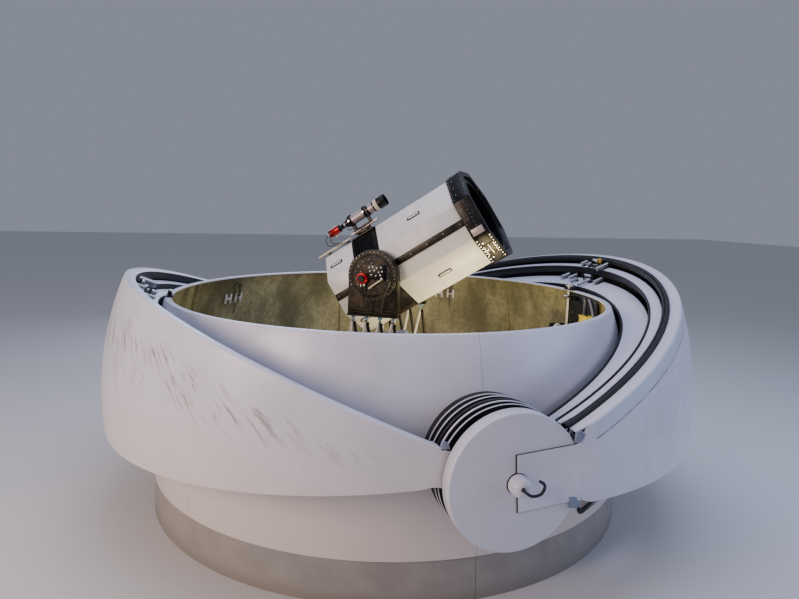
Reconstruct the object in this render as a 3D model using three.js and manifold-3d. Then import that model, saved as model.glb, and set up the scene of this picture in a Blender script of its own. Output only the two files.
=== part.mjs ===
// Clamshell observatory dome, five metre class, standing fully open, with its telescope.
// Millimetres, +Z up. The origin is on the ground at the centre of the round wall.
// The shutters turn about a level axis along Y. +X is the side of the overlapping shutters.
import * as THREE from 'three';
import { mergeVertices } from 'three/addons/utils/BufferGeometryUtils.js';
import Module from 'manifold-3d';

const wasm = await Module();
wasm.setup();

// Ring wall and curb
const curbHeight = 380;
const curbFootRadius = 2595;
const curbTopRadius = 2574;
const curbInnerRadius = 2395;
const hubHeight = 1260;
const rimHeight = 2195;
const zoneRadius = 2613;
const rimRadius = Math.sqrt(zoneRadius ** 2 - (rimHeight - hubHeight) ** 2);
const wallFootRadius = 2590;
const wallThickness = 15;
const wallFlange = 50;
const lipWidth = 45;
const panelCount = 6;
const curbCount = 4;
const seamGap = 0.3;
// How far the lip and the foot flange stay inside the outer skin
const skinInset = 2;

// Access opening in the lower wall
const hatchAzimuth = -58.2;
const hatchWidth = 600;
const hatchHeight = 520;
const hatchMiddle = 765;
const hatchCorner = 60;
const gasketWidth = 34;
const gasketThickness = 14;

// Hub stacks at both ends of the pivot axis
const plateRadius = 520;
const plateThickness = 22;
const shellThickness = 12;
const bossFace = 2655;
const bossRadius = 505;
const spindleRadius = 110;
const spacerRadius = 490;
const runningGap = 5;
const pinGap = 0.6;
const seatGap = 0.3;
// Depth by which joined pieces run into each other
const overlap = 2;
const slimSpacer = 380;
const panBack = 3052;
const panRim = 12;
const capRadius = 78;
const capFace = 3300;

// Cutting shapes run past the whole dome by this much
const beyond = 4300;

// Fineness of the round surfaces, in degrees and sides
const arcStep = 10;
const wallSides = 48;
const shellSides = 40;
const discSides = 24;
const shaftSides = 18;

// Telescope and its mount
const scopeAzimuth = -35;
const scopeAltitude = 32.4;
const altitudeHeight = 2450;
const tubeWidth = 980;
const tubeWall = 12;
const centreWall = 30;
const tubeFront = 1100;
const tubeRear = -540;
const centreFront = 165;
const centreRear = -170;
const ringFront = 1290;
const ringWidth = 1020;
const ringWall = 55;
const stripStart = 210;
const stripWidth = 76;
const stripThickness = 11;
const trunnionRadius = 89;
const bearingGap = 1;
const armInner = 510;
const armOuter = 600;
const armHalf = 280;
const bearingRadius = 275;
const capStep = 26;
const capDepth = 40;
const motorOffset = [-95, -30];
const pierTop = 1100;
const pierRadius = 300;
const pierFoot = 450;
const pierHead = 540;
const pierPlate = 40;
const turntableRadius = 760;
const turntableTop = 1200;
const armFoot = 2030;

const degree = Math.PI / 180;
// Edges shorter than this are merged where cuts leave slivers
const sliver = 0.5;

function finish(color, roughness, metalness) {
  return new THREE.MeshStandardMaterial({ color, roughness, metalness });
}

const finishes = {
  concrete: finish(0x8b8985, 0.9, 0),
  wallSkin: finish(0xe4dcc8, 0.5, 0),
  gelcoat: finish(0xe9e6e0, 0.4, 0),
  rubber: finish(0x101112, 0.8, 0),
  blackPaint: finish(0x1b1c1e, 0.5, 0.3),
  steel: finish(0xb8babd, 0.35, 0.9),
  anodised: finish(0x17181a, 0.45, 0.6),
  tubeWhite: finish(0xf0eee8, 0.35, 0.1),
  red: finish(0xb01a1e, 0.35, 0.4),
  pierPaint: finish(0xc9c9c6, 0.5, 0.2),
};

const dome = new THREE.Group();

// A closed solid from a three.js geometry, turned to face outwards where it faces inwards
function solid(geometry) {
  const plain = geometry.clone();
  plain.deleteAttribute('normal');
  plain.deleteAttribute('uv');
  const merged = mergeVertices(plain);
  const points = merged.attributes.position.array;
  const corners = Uint32Array.from(merged.index.array);
  const a = new THREE.Vector3();
  const b = new THREE.Vector3();
  const c = new THREE.Vector3();
  let volume = 0;
  for (let i = 0; i < corners.length; i += 3) {
    a.fromArray(points, corners[i] * 3);
    b.fromArray(points, corners[i + 1] * 3);
    c.fromArray(points, corners[i + 2] * 3);
    volume += a.dot(b.cross(c));
  }
  if (volume < 0) {
    for (let i = 0; i < corners.length; i += 3) {
      [corners[i + 1], corners[i + 2]] = [corners[i + 2], corners[i + 1]];
    }
  }
  const vertProperties = Float32Array.from(points);
  return new wasm.Manifold(new wasm.Mesh({ numProp: 3, vertProperties, triVerts: corners }));
}

function addMesh(group, name, body, material) {
  const { vertProperties, triVerts } = body.simplify(sliver).getMesh();
  const geometry = new THREE.BufferGeometry();
  geometry.setAttribute('position', new THREE.BufferAttribute(vertProperties, 3));
  geometry.setIndex(new THREE.BufferAttribute(triVerts, 1));
  geometry.computeVertexNormals();
  const mesh = new THREE.Mesh(geometry, material);
  mesh.name = name;
  group.add(mesh);
  return mesh;
}

function toVectors(points) {
  return points.map(([x, y]) => new THREE.Vector2(x, y));
}

// A ring turned about the Y axis from a closed profile of [radius, along Y]
function turned(profile, sides) {
  return solid(new THREE.LatheGeometry(toVectors([...profile, profile[0]]), sides));
}

// The same about the Z axis
function turnedUpright(profile, sides) {
  const geometry = new THREE.LatheGeometry(toVectors([...profile, profile[0]]), sides);
  return solid(geometry.rotateX(Math.PI / 2));
}

// A round bar or disc about the Y axis from [radius, along Y] pairs, closed on the axis
function spun(profile, sides) {
  const first = [0, profile[0][1]];
  const last = [0, profile[profile.length - 1][1]];
  return solid(new THREE.LatheGeometry(toVectors([first, ...profile, last]), sides));
}

function spunUpright(profile, sides) {
  const first = [0, profile[0][1]];
  const last = [0, profile[profile.length - 1][1]];
  const geometry = new THREE.LatheGeometry(toVectors([first, ...profile, last]), sides);
  return solid(geometry.rotateX(Math.PI / 2));
}

function box(low, high) {
  const size = high.map((value, i) => value - low[i]);
  const geometry = new THREE.BoxGeometry(...size);
  geometry.translate(...high.map((value, i) => (value + low[i]) / 2));
  return solid(geometry);
}

// A round rod between two points
function rod(from, to, radius, sides) {
  const start = new THREE.Vector3(...from);
  const end = new THREE.Vector3(...to);
  const along = end.clone().sub(start);
  const geometry = new THREE.CylinderGeometry(radius, radius, along.length(), sides);
  const upright = new THREE.Vector3(0, 1, 0);
  geometry.applyQuaternion(new THREE.Quaternion().setFromUnitVectors(upright, along.clone().normalize()));
  const middle = start.add(end).multiplyScalar(0.5);
  geometry.translate(middle.x, middle.y, middle.z);
  return solid(geometry);
}

function joined(bodies) {
  return bodies.reduce((whole, body) => whole.add(body));
}

// A wedge across the whole dome: an outline of [outwards, up] points, run along Y.
// side is 1 towards +X and -1 towards -X.
function wedge(outline, side) {
  const shape = new THREE.Shape(toVectors(outline));
  const geometry = new THREE.ExtrudeGeometry(shape, { depth: 2 * beyond, bevelEnabled: false });
  geometry.rotateX(Math.PI / 2);
  geometry.translate(0, beyond, 0);
  geometry.scale(side, 1, 1);
  return solid(geometry);
}

// A slice of pie seen from above, between two azimuths, with half a seam gap taken off each side
function slice(from, to) {
  const trim = seamGap / 2 / zoneRadius / degree;
  const steps = 6;
  const outline = [[0, 0]];
  for (let i = 0; i <= steps; i += 1) {
    const azimuth = (from + trim + ((to - from - 2 * trim) * i) / steps) * degree;
    outline.push([beyond * Math.cos(azimuth), beyond * Math.sin(azimuth)]);
  }
  const shape = new THREE.Shape(toVectors(outline));
  const geometry = new THREE.ExtrudeGeometry(shape, { depth: 2 * beyond, bevelEnabled: false });
  geometry.translate(0, 0, -beyond);
  return solid(geometry);
}

// Outline of the wall's skin, offset outwards, from the foot to the rim: [radius, height]
function wallCurve(offset) {
  const rimAngle = Math.asin((rimHeight - hubHeight) / zoneRadius);
  const steps = 4;
  const curve = [[wallFootRadius + offset, curbHeight]];
  for (let i = 0; i <= steps; i += 1) {
    const angle = (rimAngle * i) / steps;
    curve.push([(zoneRadius + offset) * Math.cos(angle), hubHeight + zoneRadius * Math.sin(angle)]);
  }
  return curve;
}

function wallBand(inner, outer) {
  return turnedUpright([...wallCurve(outer), ...wallCurve(inner).reverse()], wallSides);
}

// Rounded rectangle standing across the access opening, pushed through the wall
function hatchBlock(grow) {
  const halfWidth = hatchWidth / 2 + grow;
  const halfHeight = hatchHeight / 2 + grow;
  const corner = hatchCorner + grow;
  const shape = new THREE.Shape();
  shape.absarc(halfWidth - corner, halfHeight - corner, corner, 0, Math.PI / 2);
  shape.absarc(corner - halfWidth, halfHeight - corner, corner, Math.PI / 2, Math.PI);
  shape.absarc(corner - halfWidth, corner - halfHeight, corner, Math.PI, 1.5 * Math.PI);
  shape.absarc(halfWidth - corner, corner - halfHeight, corner, 1.5 * Math.PI, 2 * Math.PI);
  const depth = 600;
  const geometry = new THREE.ExtrudeGeometry(shape, { depth, bevelEnabled: false, curveSegments: 3 });
  geometry.rotateX(Math.PI / 2);
  geometry.rotateZ((hatchAzimuth + 90) * degree);
  const azimuth = hatchAzimuth * degree;
  const near = zoneRadius - depth / 2;
  geometry.translate(near * Math.cos(azimuth), near * Math.sin(azimuth), hatchMiddle);
  return solid(geometry);
}

function buildWall() {
  const skin = wallBand(-wallThickness, 0);
  const lip = turnedUpright([
    [rimRadius - wallThickness - lipWidth, rimHeight - wallThickness],
    [rimRadius - skinInset, rimHeight - wallThickness],
    [rimRadius - skinInset, rimHeight],
    [rimRadius - wallThickness - lipWidth, rimHeight],
  ], wallSides);
  const foot = turnedUpright([
    [wallFootRadius - wallThickness - wallFlange, curbHeight],
    [wallFootRadius - skinInset, curbHeight],
    [wallFootRadius - skinInset, curbHeight + wallThickness],
    [wallFootRadius - wallThickness - wallFlange, curbHeight + wallThickness],
  ], wallSides);
  const ribs = wallBand(-wallThickness - wallFlange, -skinInset);
  const span = 360 / panelCount;
  const ribAngle = 0.25;
  for (let i = 0; i < panelCount; i += 1) {
    const from = -90 + i * span;
    const to = from + span;
    const ring = skin.add(lip).add(foot).intersect(slice(from, to));
    const start = ribs.intersect(slice(from, from + ribAngle));
    const end = ribs.intersect(slice(to - ribAngle, to));
    let panel = joined([ring, start, end]);
    if (i === 0) {
      panel = panel.subtract(hatchBlock(0));
    }
    addMesh(dome, `wall_panel_${i + 1}`, panel, finishes.wallSkin);
  }
  const inward = -6;
  const frame = hatchBlock(gasketWidth).subtract(hatchBlock(inward));
  addMesh(dome, 'access_gasket', frame.intersect(wallBand(seatGap, gasketThickness)), finishes.rubber);
}

function buildCurb() {
  const ring = turnedUpright([
    [curbInnerRadius, 0],
    [curbFootRadius, 0],
    [curbTopRadius, curbHeight - seatGap],
    [curbInnerRadius, curbHeight - seatGap],
  ], wallSides);
  const span = 360 / curbCount;
  for (let i = 0; i < curbCount; i += 1) {
    const quarter = ring.intersect(slice(i * span, (i + 1) * span));
    addMesh(dome, `curb_quarter_${i + 1}`, quarter, finishes.concrete);
  }
}

// Shutters, from the inside of the nest outwards. Angles are degrees above the level, offsets are
// how far an edge's plane passes above the pivot axis, and faces are distances along the axis.
const shutters = [
  {
    name: 'left_inner', side: -1, radius: 2810, flange: 2660, face: 2769,
    lead: [21, -60], trail: [-8, 0], arm: [6, 150, 150], reach: 540, hub: plateRadius,
  },
  {
    name: 'right_inner', side: 1, radius: 2935, flange: 2676, face: 2834,
    lead: [20.5, 40], trail: [-8, 0], arm: [6, 150, 150], reach: 560, hub: plateRadius, step: true,
  },
  {
    name: 'left_middle', side: -1, radius: 2930, flange: 2828, face: 2902,
    lead: [21.5, -20], trail: [-7, 0], arm: [6, 150, 150], reach: 540, hub: plateRadius,
  },
  {
    name: 'right_middle', side: 1, radius: 3080, flange: 2972, face: 2970,
    lead: [20.84, 155], trail: [-7, -40], arm: [7, 170, 150], reach: 600, hub: plateRadius, step: true,
  },
  {
    name: 'left_outer', side: -1, radius: 3055, flange: 2945, face: 3015,
    lead: [22.75, 23], trail: [-6.04, 9], arm: [8.35, 150, 122], reach: 540, hub: 440,
  },
  {
    name: 'right_outer', side: 1, radius: 3261, flange: 3160, face: 3190,
    lead: [22, 160], trail: [-2.5, -178], arm: [4.5, 215, 215], reach: 630, hub: 0,
  },
];
const outermostArm = shutters[5].face;
const armEnd = 540;
const stepReach = 560;
const stepDraft = 18;
const flangeStart = 566;
const flangeThickness = 12;
const skirtDepth = 90;
// Flanges and seals stop this far inside the skin and the arm's face
const edgeInset = 3;

function edgePoint([angle, offset], along) {
  const turn = angle * degree;
  return [along * Math.cos(turn) - offset * Math.sin(turn), along * Math.sin(turn) + offset * Math.cos(turn)];
}

function shutterOutline({ lead, trail, arm, reach }) {
  const [angle, above, below] = arm;
  const turnIn = 40;
  return [
    edgePoint([angle, -below], 0),
    edgePoint([angle, -below], armEnd),
    edgePoint(trail, Math.max(reach, armEnd + turnIn)),
    edgePoint(trail, beyond),
    edgePoint(lead, beyond),
    edgePoint(lead, reach),
    edgePoint([angle, above], armEnd),
    edgePoint([angle, above], 0),
  ];
}

// Arc of a shell from a starting distance off the axis out to the equator and back: [radius, along Y].
// Every shell bends at the same angles, so that nested shells keep their distance.
function shellArc(radius, start) {
  const reach = Math.acos(start / radius) / degree;
  const angles = [reach];
  for (let angle = arcStep * Math.floor((reach - 1) / arcStep); angle > -reach + 1; angle -= arcStep) {
    angles.push(angle);
  }
  angles.push(-reach);
  return angles.map((angle) => [radius * Math.cos(angle * degree), radius * Math.sin(angle * degree)]);
}

// One skin of a shutter: flat arm, a step where it has one, the shell, and the other arm
function shutterSkin(radius, face, stepped, inset) {
  const start = stepped ? stepReach + inset : Math.sqrt(radius * radius - face * face);
  const bend = stepped ? [[stepReach - stepDraft + inset, face]] : [];
  const arc = shellArc(radius, start);
  const mirrored = bend.map(([r, y]) => [r, -y]);
  const near = spindleRadius + 2 * pinGap;
  return [[near, face], ...bend, ...arc, ...mirrored, [near, -face]];
}

// Ring of a shutter's leading flange or seal between two radii, kept inside the arm's outer face
function edgeRing(inner, outer, face) {
  const clip = ([r, y]) => [r, Math.sign(y) * Math.min(Math.abs(y), face)];
  const outside = shellArc(outer, flangeStart).map(clip);
  const inside = shellArc(inner, flangeStart).map(clip);
  return turned([...outside, ...inside.reverse()], shellSides);
}

// A thin wedge just below a shutter's leading edge, between two offsets from it
function edgeStrip({ lead, side }, from, to) {
  const [angle, offset] = lead;
  return wedge([
    edgePoint([angle, offset + from], 0),
    edgePoint([angle, offset + from], beyond),
    edgePoint([angle, offset + to], beyond),
    edgePoint([angle, offset + to], 0),
  ], side);
}

// Round cutter along the pivot axis
function bore(radius) {
  return spun([[radius, -beyond], [radius, beyond]], discSides);
}

// Hole that a faceted disc needs to clear the spindle's corners
const spindleHole = (spindleRadius + pinGap) / Math.cos(Math.PI / discSides);

// Discs at both ends that carry a shutter's arms
function hubPlates(face, radius) {
  const inside = face - shellThickness - plateThickness;
  const outside = face - shellThickness + overlap;
  return [1, -1].map((end) => turned([
    [spindleHole, end * inside],
    [radius, end * inside],
    [radius, end * outside],
    [spindleHole, end * outside],
  ], discSides));
}

function buildShutters(group) {
  for (const shutter of shutters) {
    const { name, side, radius, flange, face, step, hub } = shutter;
    const outer = shutterSkin(radius, face, step, 0);
    const inner = shutterSkin(radius - shellThickness, face - shellThickness, step, shellThickness);
    const sector = wedge(shutterOutline(shutter), side);
    const shell = turned([...outer, ...inner.reverse()], shellSides).intersect(sector);
    const within = face - edgeInset;
    const plate = edgeRing(flange, radius - edgeInset, within)
      .intersect(edgeStrip(shutter, -flangeThickness, 0));
    const skirt = edgeRing(flange, flange + flangeThickness, within)
      .intersect(edgeStrip(shutter, -skirtDepth, -overlap));
    let body = joined([shell, plate, skirt]);
    if (hub > 0) {
      body = joined([body.subtract(bore(spindleRadius + 3 * pinGap)), ...hubPlates(face, hub)]);
    } else {
      body = body.subtract(bore(capRadius + pinGap));
    }
    addMesh(group, `shutter_${name}`, body, finishes.gelcoat);
  }
}

// Rubber seals along the leading flanges of the overlapping side: [radius range, offset range]
const seals = {
  right_inner: [2654, 2676, -30, 12],
  right_middle: [2952, 2972, -30, 12],
  right_outer: [3095, 3160, -30, 30],
};

function buildSeals(group) {
  for (const shutter of shutters) {
    const seal = seals[shutter.name];
    if (seal) {
      const [low, high, below, above] = seal;
      const ring = edgeRing(low, high - seatGap, shutter.face - edgeInset);
      const strip = ring.intersect(edgeStrip(shutter, below, above));
      addMesh(group, `seal_${shutter.name}`, strip, finishes.rubber);
    }
  }
}

// Deep-rimmed pans under the outermost arms
function buildPans(group) {
  const outerFace = outermostArm - shellThickness - seatGap;
  for (const [name, end] of [['front', -1], ['back', 1]]) {
    const pan = turned([
      [spindleHole, end * (outerFace - panRim)],
      [plateRadius - panRim, end * (outerFace - panRim)],
      [plateRadius - panRim, end * panBack],
      [plateRadius, end * panBack],
      [plateRadius, end * outerFace],
      [spindleHole, end * outerFace],
    ], discSides);
    addMesh(group, `hub_pan_${name}`, pan, finishes.gelcoat);
  }
}

// Spacers of the hub stack fill the gaps between the turning plates, with running clearance
function spindleProfile() {
  const profile = [[spacerRadius, bossFace + seatGap]];
  let width = spacerRadius;
  for (const { face, hub } of shutters.filter((shutter) => shutter.hub > 0)) {
    const spacerEnd = face - shellThickness - plateThickness - runningGap;
    profile.push([hub < plateRadius ? slimSpacer : width, spacerEnd], [spindleRadius, spacerEnd]);
    width = hub < plateRadius ? slimSpacer : spacerRadius;
    profile.push([spindleRadius, face + runningGap], [width, face + runningGap]);
  }
  const outerFace = outermostArm - shellThickness - seatGap;
  profile.push([width, panBack - runningGap], [spindleRadius, panBack - runningGap]);
  profile.push([spindleRadius, outerFace], [capRadius, outerFace], [capRadius, capFace]);
  return profile;
}

function buildHubs(group) {
  const bossRoot = 2300;
  const boss = spun([[bossRadius, bossRoot], [bossRadius, bossFace]], discSides);
  const envelopeCurve = [
    [wallFootRadius + seatGap, 0],
    ...wallCurve(seatGap),
    [rimRadius + seatGap, 2 * rimHeight],
  ];
  const envelope = spunUpright(envelopeCurve.map(([r, z]) => [r, z - hubHeight]), wallSides);
  const fitted = boss.subtract(envelope);
  const spindle = spun(spindleProfile(), shaftSides);
  for (const [name, end] of [['front', -1], ['back', 1]]) {
    const bossMesh = addMesh(group, `hub_boss_${name}`, fitted, finishes.wallSkin);
    const spindleMesh = addMesh(group, `pivot_spindle_${name}`, spindle, finishes.blackPaint);
    if (end < 0) {
      bossMesh.rotation.z = Math.PI;
      spindleMesh.rotation.z = Math.PI;
    }
  }
}

// Bent rod that stands in the front pivot cap, its root cut flush with the cap's face
function buildHook(group) {
  const radius = 11;
  const bend = 55;
  const root = -14;
  const curve = new THREE.CatmullRomCurve3([
    new THREE.Vector3(root - 8, -capFace + 30, 15),
    new THREE.Vector3(root, -capFace - 40, 3),
    new THREE.Vector3(root + bend, -capFace - 60, -15),
    new THREE.Vector3(root + 2 * bend, -capFace - 60, 1),
    new THREE.Vector3(root + 2.4 * bend, -capFace - 55, 41),
    new THREE.Vector3(root + 1.7 * bend, -capFace - 50, 83),
  ]);
  const circle = new THREE.Shape();
  circle.absarc(0, 0, radius, 0, 2 * Math.PI);
  const settings = { extrudePath: curve, steps: 12, curveSegments: 2 };
  const bentRod = solid(new THREE.ExtrudeGeometry(circle, settings));
  const cap = box([-capRadius, -capFace - seatGap, -capRadius], [capRadius, 0, capRadius]);
  addMesh(group, 'pivot_hook_front', bentRod.subtract(cap), finishes.rubber);
}

// Pulleys on the rim and the drive boxes that hang below them, one set at each side.
// Distances are from the dome's centre line, outwards.
const drive = {
  pulleyInner: 2350, pulleyOuter: 2432, pulleyHalf: 90, pulleyBase: 10,
  cheekInner: 2372, cheekOuter: 2412, cheekWidth: 12, cheekHeight: 70,
  rollerAt: 2392, rollerHeight: 46, rollerRadius: 22,
  boxInner: 2205, boxOuter: 2405, boxHalf: 150, boxBottom: 1450, boxTop: 1820,
  postDepth: 45, postHalf: 40,
  motorAt: 2290, motorHeight: 1640, motorRadius: 70, motorEnd: 260,
};

function buildDrives() {
  for (const [name, side] of [['right', 1], ['left', -1]]) {
    const block = (inner, outer, [y0, y1], [z0, z1]) => {
      const [low, high] = side > 0 ? [inner, outer] : [-outer, -inner];
      return box([low, y0, z0], [high, y1, z1]);
    };
    const shaft = (x, [y0, y1], z, radius, sides) => rod([side * x, y0, z], [side * x, y1, z], radius, sides);
    const d = drive;
    const seat = rimHeight + seatGap;
    const cheekTop = [seat + d.pulleyBase - overlap, seat + d.cheekHeight];
    const cheekFace = d.pulleyHalf - d.cheekWidth;
    const rollerEnd = d.pulleyHalf - d.cheekWidth / 2;
    const pulley = joined([
      block(d.pulleyInner, d.pulleyOuter, [-d.pulleyHalf, d.pulleyHalf], [seat, seat + d.pulleyBase]),
      block(d.cheekInner, d.cheekOuter, [-d.pulleyHalf, -cheekFace], cheekTop),
      block(d.cheekInner, d.cheekOuter, [cheekFace, d.pulleyHalf], cheekTop),
      shaft(d.rollerAt, [-rollerEnd, rollerEnd], seat + d.rollerHeight, d.rollerRadius, 10),
    ]);
    addMesh(dome, `rim_pulley_${name}`, pulley, finishes.steel);
    const lipUnderside = rimHeight - wallThickness - seatGap;
    const postInner = d.boxOuter - d.postDepth;
    const housing = joined([
      block(d.boxInner, d.boxOuter, [-d.boxHalf, d.boxHalf], [d.boxBottom, d.boxTop]),
      block(postInner, d.boxOuter, [-d.postHalf, d.postHalf], [d.boxTop - overlap, lipUnderside]),
      shaft(d.motorAt, [-d.motorEnd, overlap - d.boxHalf], d.motorHeight, d.motorRadius, 16),
    ]);
    addMesh(dome, `drive_box_${name}`, housing, finishes.blackPaint);
  }
}

// Belt brackets in the middle of the leading flanges: a foot, two cheeks and two rollers.
// distance is measured from the pivot axis out along the leading plane.
const brackets = [
  { name: 'right_inner', distance: 2860, half: 90, tall: 95 },
  { name: 'right_middle', distance: 3024, half: 75, tall: 110 },
  { name: 'left_inner', distance: 2754, half: 80, tall: 85 },
  { name: 'left_middle', distance: 2876, half: 80, tall: 85 },
];
const bracketFoot = 8;
const bracketWidth = 34;
const bracketCheek = 10;
const beltRoller = { radius: 18, inset: 22, shift: 8 };
const guideRoller = { radius: 14, height: 34, shift: -10 };

function buildBrackets(group) {
  for (const { name, distance, half, tall } of brackets) {
    const { side, lead } = shutters.find((shutter) => shutter.name === name);
    const cheekWidth = bracketWidth - 8;
    const cheekFoot = bracketFoot - overlap;
    const shaftEnd = half - bracketCheek / 2;
    const roller = ({ radius, shift }, height) => {
      return rod([shift, -shaftEnd, height], [shift, shaftEnd, height], radius, 10);
    };
    const bracket = joined([
      box([-bracketWidth, -half, 0], [bracketWidth, half, bracketFoot]),
      box([-cheekWidth, -half, cheekFoot], [cheekWidth, bracketCheek - half, tall]),
      box([-cheekWidth, half - bracketCheek, cheekFoot], [cheekWidth, half, tall]),
      roller(beltRoller, tall - beltRoller.inset),
      roller(guideRoller, guideRoller.height),
    ]);
    const mesh = addMesh(group, `belt_bracket_${name}`, bracket, finishes.steel);
    const [outwards, up] = edgePoint([lead[0], lead[1] + seatGap], distance);
    mesh.position.set(side * outwards, 0, up);
    mesh.rotation.y = -side * lead[0] * degree;
  }
}

// Corners of an octagon with flat faces to the sides, top and bottom
function octagon(width) {
  const corner = width / 2 / Math.cos(Math.PI / 8);
  const points = [];
  for (let i = 0; i < 8; i += 1) {
    const angle = ((i + 0.5) * Math.PI) / 4;
    points.push([corner * Math.cos(angle), corner * Math.sin(angle)]);
  }
  return points;
}

// Octagonal prism along X, or a tube where it has a wall
function octagonTube(width, wall, from, to) {
  const shape = new THREE.Shape(toVectors(octagon(width)));
  if (wall > 0) {
    shape.holes.push(new THREE.Path(toVectors(octagon(width - 2 * wall))));
  }
  const geometry = new THREE.ExtrudeGeometry(shape, { depth: to - from, bevelEnabled: false });
  geometry.rotateY(Math.PI / 2);
  geometry.translate(from, 0, 0);
  return solid(geometry);
}

function buildTube(group) {
  const front = octagonTube(tubeWidth, tubeWall, centreFront + seatGap, tubeFront);
  addMesh(group, 'tube_front', front, finishes.tubeWhite);
  const shaftEnd = armOuter - 1;
  const trunnions = rod([0, -shaftEnd, 0], [0, shaftEnd, 0], trunnionRadius, 24)
    .subtract(octagonTube(tubeWidth - centreWall, 0, centreRear, centreFront));
  const centre = joined([octagonTube(tubeWidth, centreWall, centreRear, centreFront), trunnions]);
  addMesh(group, 'tube_centre', centre, finishes.anodised);
  const rear = joined([
    octagonTube(tubeWidth, tubeWall, tubeRear, centreRear - seatGap),
    octagonTube(tubeWidth - 2 * overlap, 0, tubeRear, tubeRear + tubeWall),
  ]);
  addMesh(group, 'tube_rear', rear, finishes.tubeWhite);
  const ring = octagonTube(ringWidth, ringWall, tubeFront + seatGap, ringFront);
  addMesh(group, 'tube_front_ring', ring, finishes.anodised);
  const face = tubeWidth / 2 + seatGap;
  for (const [name, end] of [['near', -1], ['far', 1]]) {
    const [low, high] = end > 0 ? [face, face + stripThickness] : [-face - stripThickness, -face];
    const strip = box([stripStart, low, -stripWidth / 2], [tubeFront - overlap, high, stripWidth / 2]);
    addMesh(group, `tube_strip_${name}`, strip, finishes.anodised);
  }
}

// Guide refractor above the tube: [radius, along the tube] stations of its barrel and dew shield
const guider = {
  side: -120, height: tubeWidth / 2 + 215, radius: 56, sides: 20,
  barrel: [[30, -210], [30, -110], [56, -110], [56, 250], [68, 250], [68, 400]],
  camera: [[45, -400], [45, -230], [28, -230], [28, -210 - seatGap]],
  standHalf: 110, saddleHalf: 75, saddleWidth: 32, saddles: [-90, 110],
};

function buildGuider(group) {
  const { side, height, radius, sides, saddleHalf, standHalf } = guider;
  const seat = tubeWidth / 2 + seatGap;
  const alongTube = (profile) => {
    const closed = [[0, profile[0][1]], ...profile, [0, profile[profile.length - 1][1]]];
    const geometry = new THREE.LatheGeometry(toVectors(closed), sides);
    geometry.rotateZ(-Math.PI / 2);
    geometry.translate(0, side, height);
    return solid(geometry);
  };
  addMesh(group, 'guide_scope', alongTube(guider.barrel), finishes.tubeWhite);
  addMesh(group, 'guide_camera', alongTube(guider.camera), finishes.red);
  const clear = alongTube([[radius + seatGap, -300], [radius + seatGap, 500]]);
  const saddle = (x) => box(
    [x, side - saddleHalf, seat + 60],
    [x + guider.saddleWidth, side + saddleHalf, height + 75],
  ).subtract(clear);
  const stand = joined([
    box([-150, side - standHalf, seat], [150, side + standHalf, seat + 16]),
    box([-90, side - 40, seat + 10], [90, side + 40, seat + 75]),
    box([-100, side - saddleHalf, seat + 60], [150, side + saddleHalf, seat + 90]),
    ...guider.saddles.map(saddle),
  ]);
  addMesh(group, 'guide_stand', stand, finishes.anodised);
}

// Strut towers between the turntable and the fork arms: ends of the crossing bars along X
const tower = {
  tops: [-230, -77, 77, 230], feet: [-330, -198, -66, 66, 198, 330],
  footHalf: 370, footInner: 540, footOuter: 650, footPlate: 20,
  headHalf: 280, headInner: 525, headOuter: 625, headPlate: 22,
  barFootAt: 600, barHeadAt: 560, barRadius: 20, barInset: 10,
};

function strutTower(end) {
  const t = tower;
  const plate = (half, [inner, outer], [low, high]) => {
    const [near, far] = end > 0 ? [inner, outer] : [-outer, -inner];
    return box([-half, near, low], [half, far, high]);
  };
  const bar = (foot, top) => rod(
    [foot, end * t.barFootAt, turntableTop + t.barInset],
    [top, end * t.barHeadAt, armFoot - t.barInset],
    t.barRadius,
    6,
  );
  return joined([
    plate(t.footHalf, [t.footInner, t.footOuter], [turntableTop + seatGap, turntableTop + t.footPlate]),
    plate(t.headHalf, [t.headInner, t.headOuter], [armFoot - t.headPlate, armFoot - seatGap]),
    ...t.tops.map((top, i) => bar(t.feet[i], top)),
    ...t.tops.map((top, i) => bar(t.feet[i + 2], top)),
  ]);
}

// Plate arm that rises into a round bearing head, with its middle at the altitude axis
function forkArm(end) {
  const foot = armFoot - altitudeHeight;
  const heel = 60;
  const shoulder = 0.35;
  const outline = new THREE.Shape();
  outline.moveTo(-armHalf, foot);
  outline.lineTo(armHalf, foot);
  outline.lineTo(armHalf, foot + heel);
  outline.absarc(0, 0, bearingRadius, -shoulder, Math.PI + shoulder, false);
  outline.lineTo(-armHalf, foot + heel);
  const hole = new THREE.Path();
  hole.absarc(0, 0, trunnionRadius + bearingGap, 0, 2 * Math.PI);
  outline.holes.push(hole);
  const depth = armOuter - armInner;
  const geometry = new THREE.ExtrudeGeometry(outline, { depth, bevelEnabled: false, curveSegments: 12 });
  geometry.rotateX(Math.PI / 2);
  geometry.translate(0, end > 0 ? armOuter : -armInner, altitudeHeight);
  return solid(geometry);
}

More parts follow.
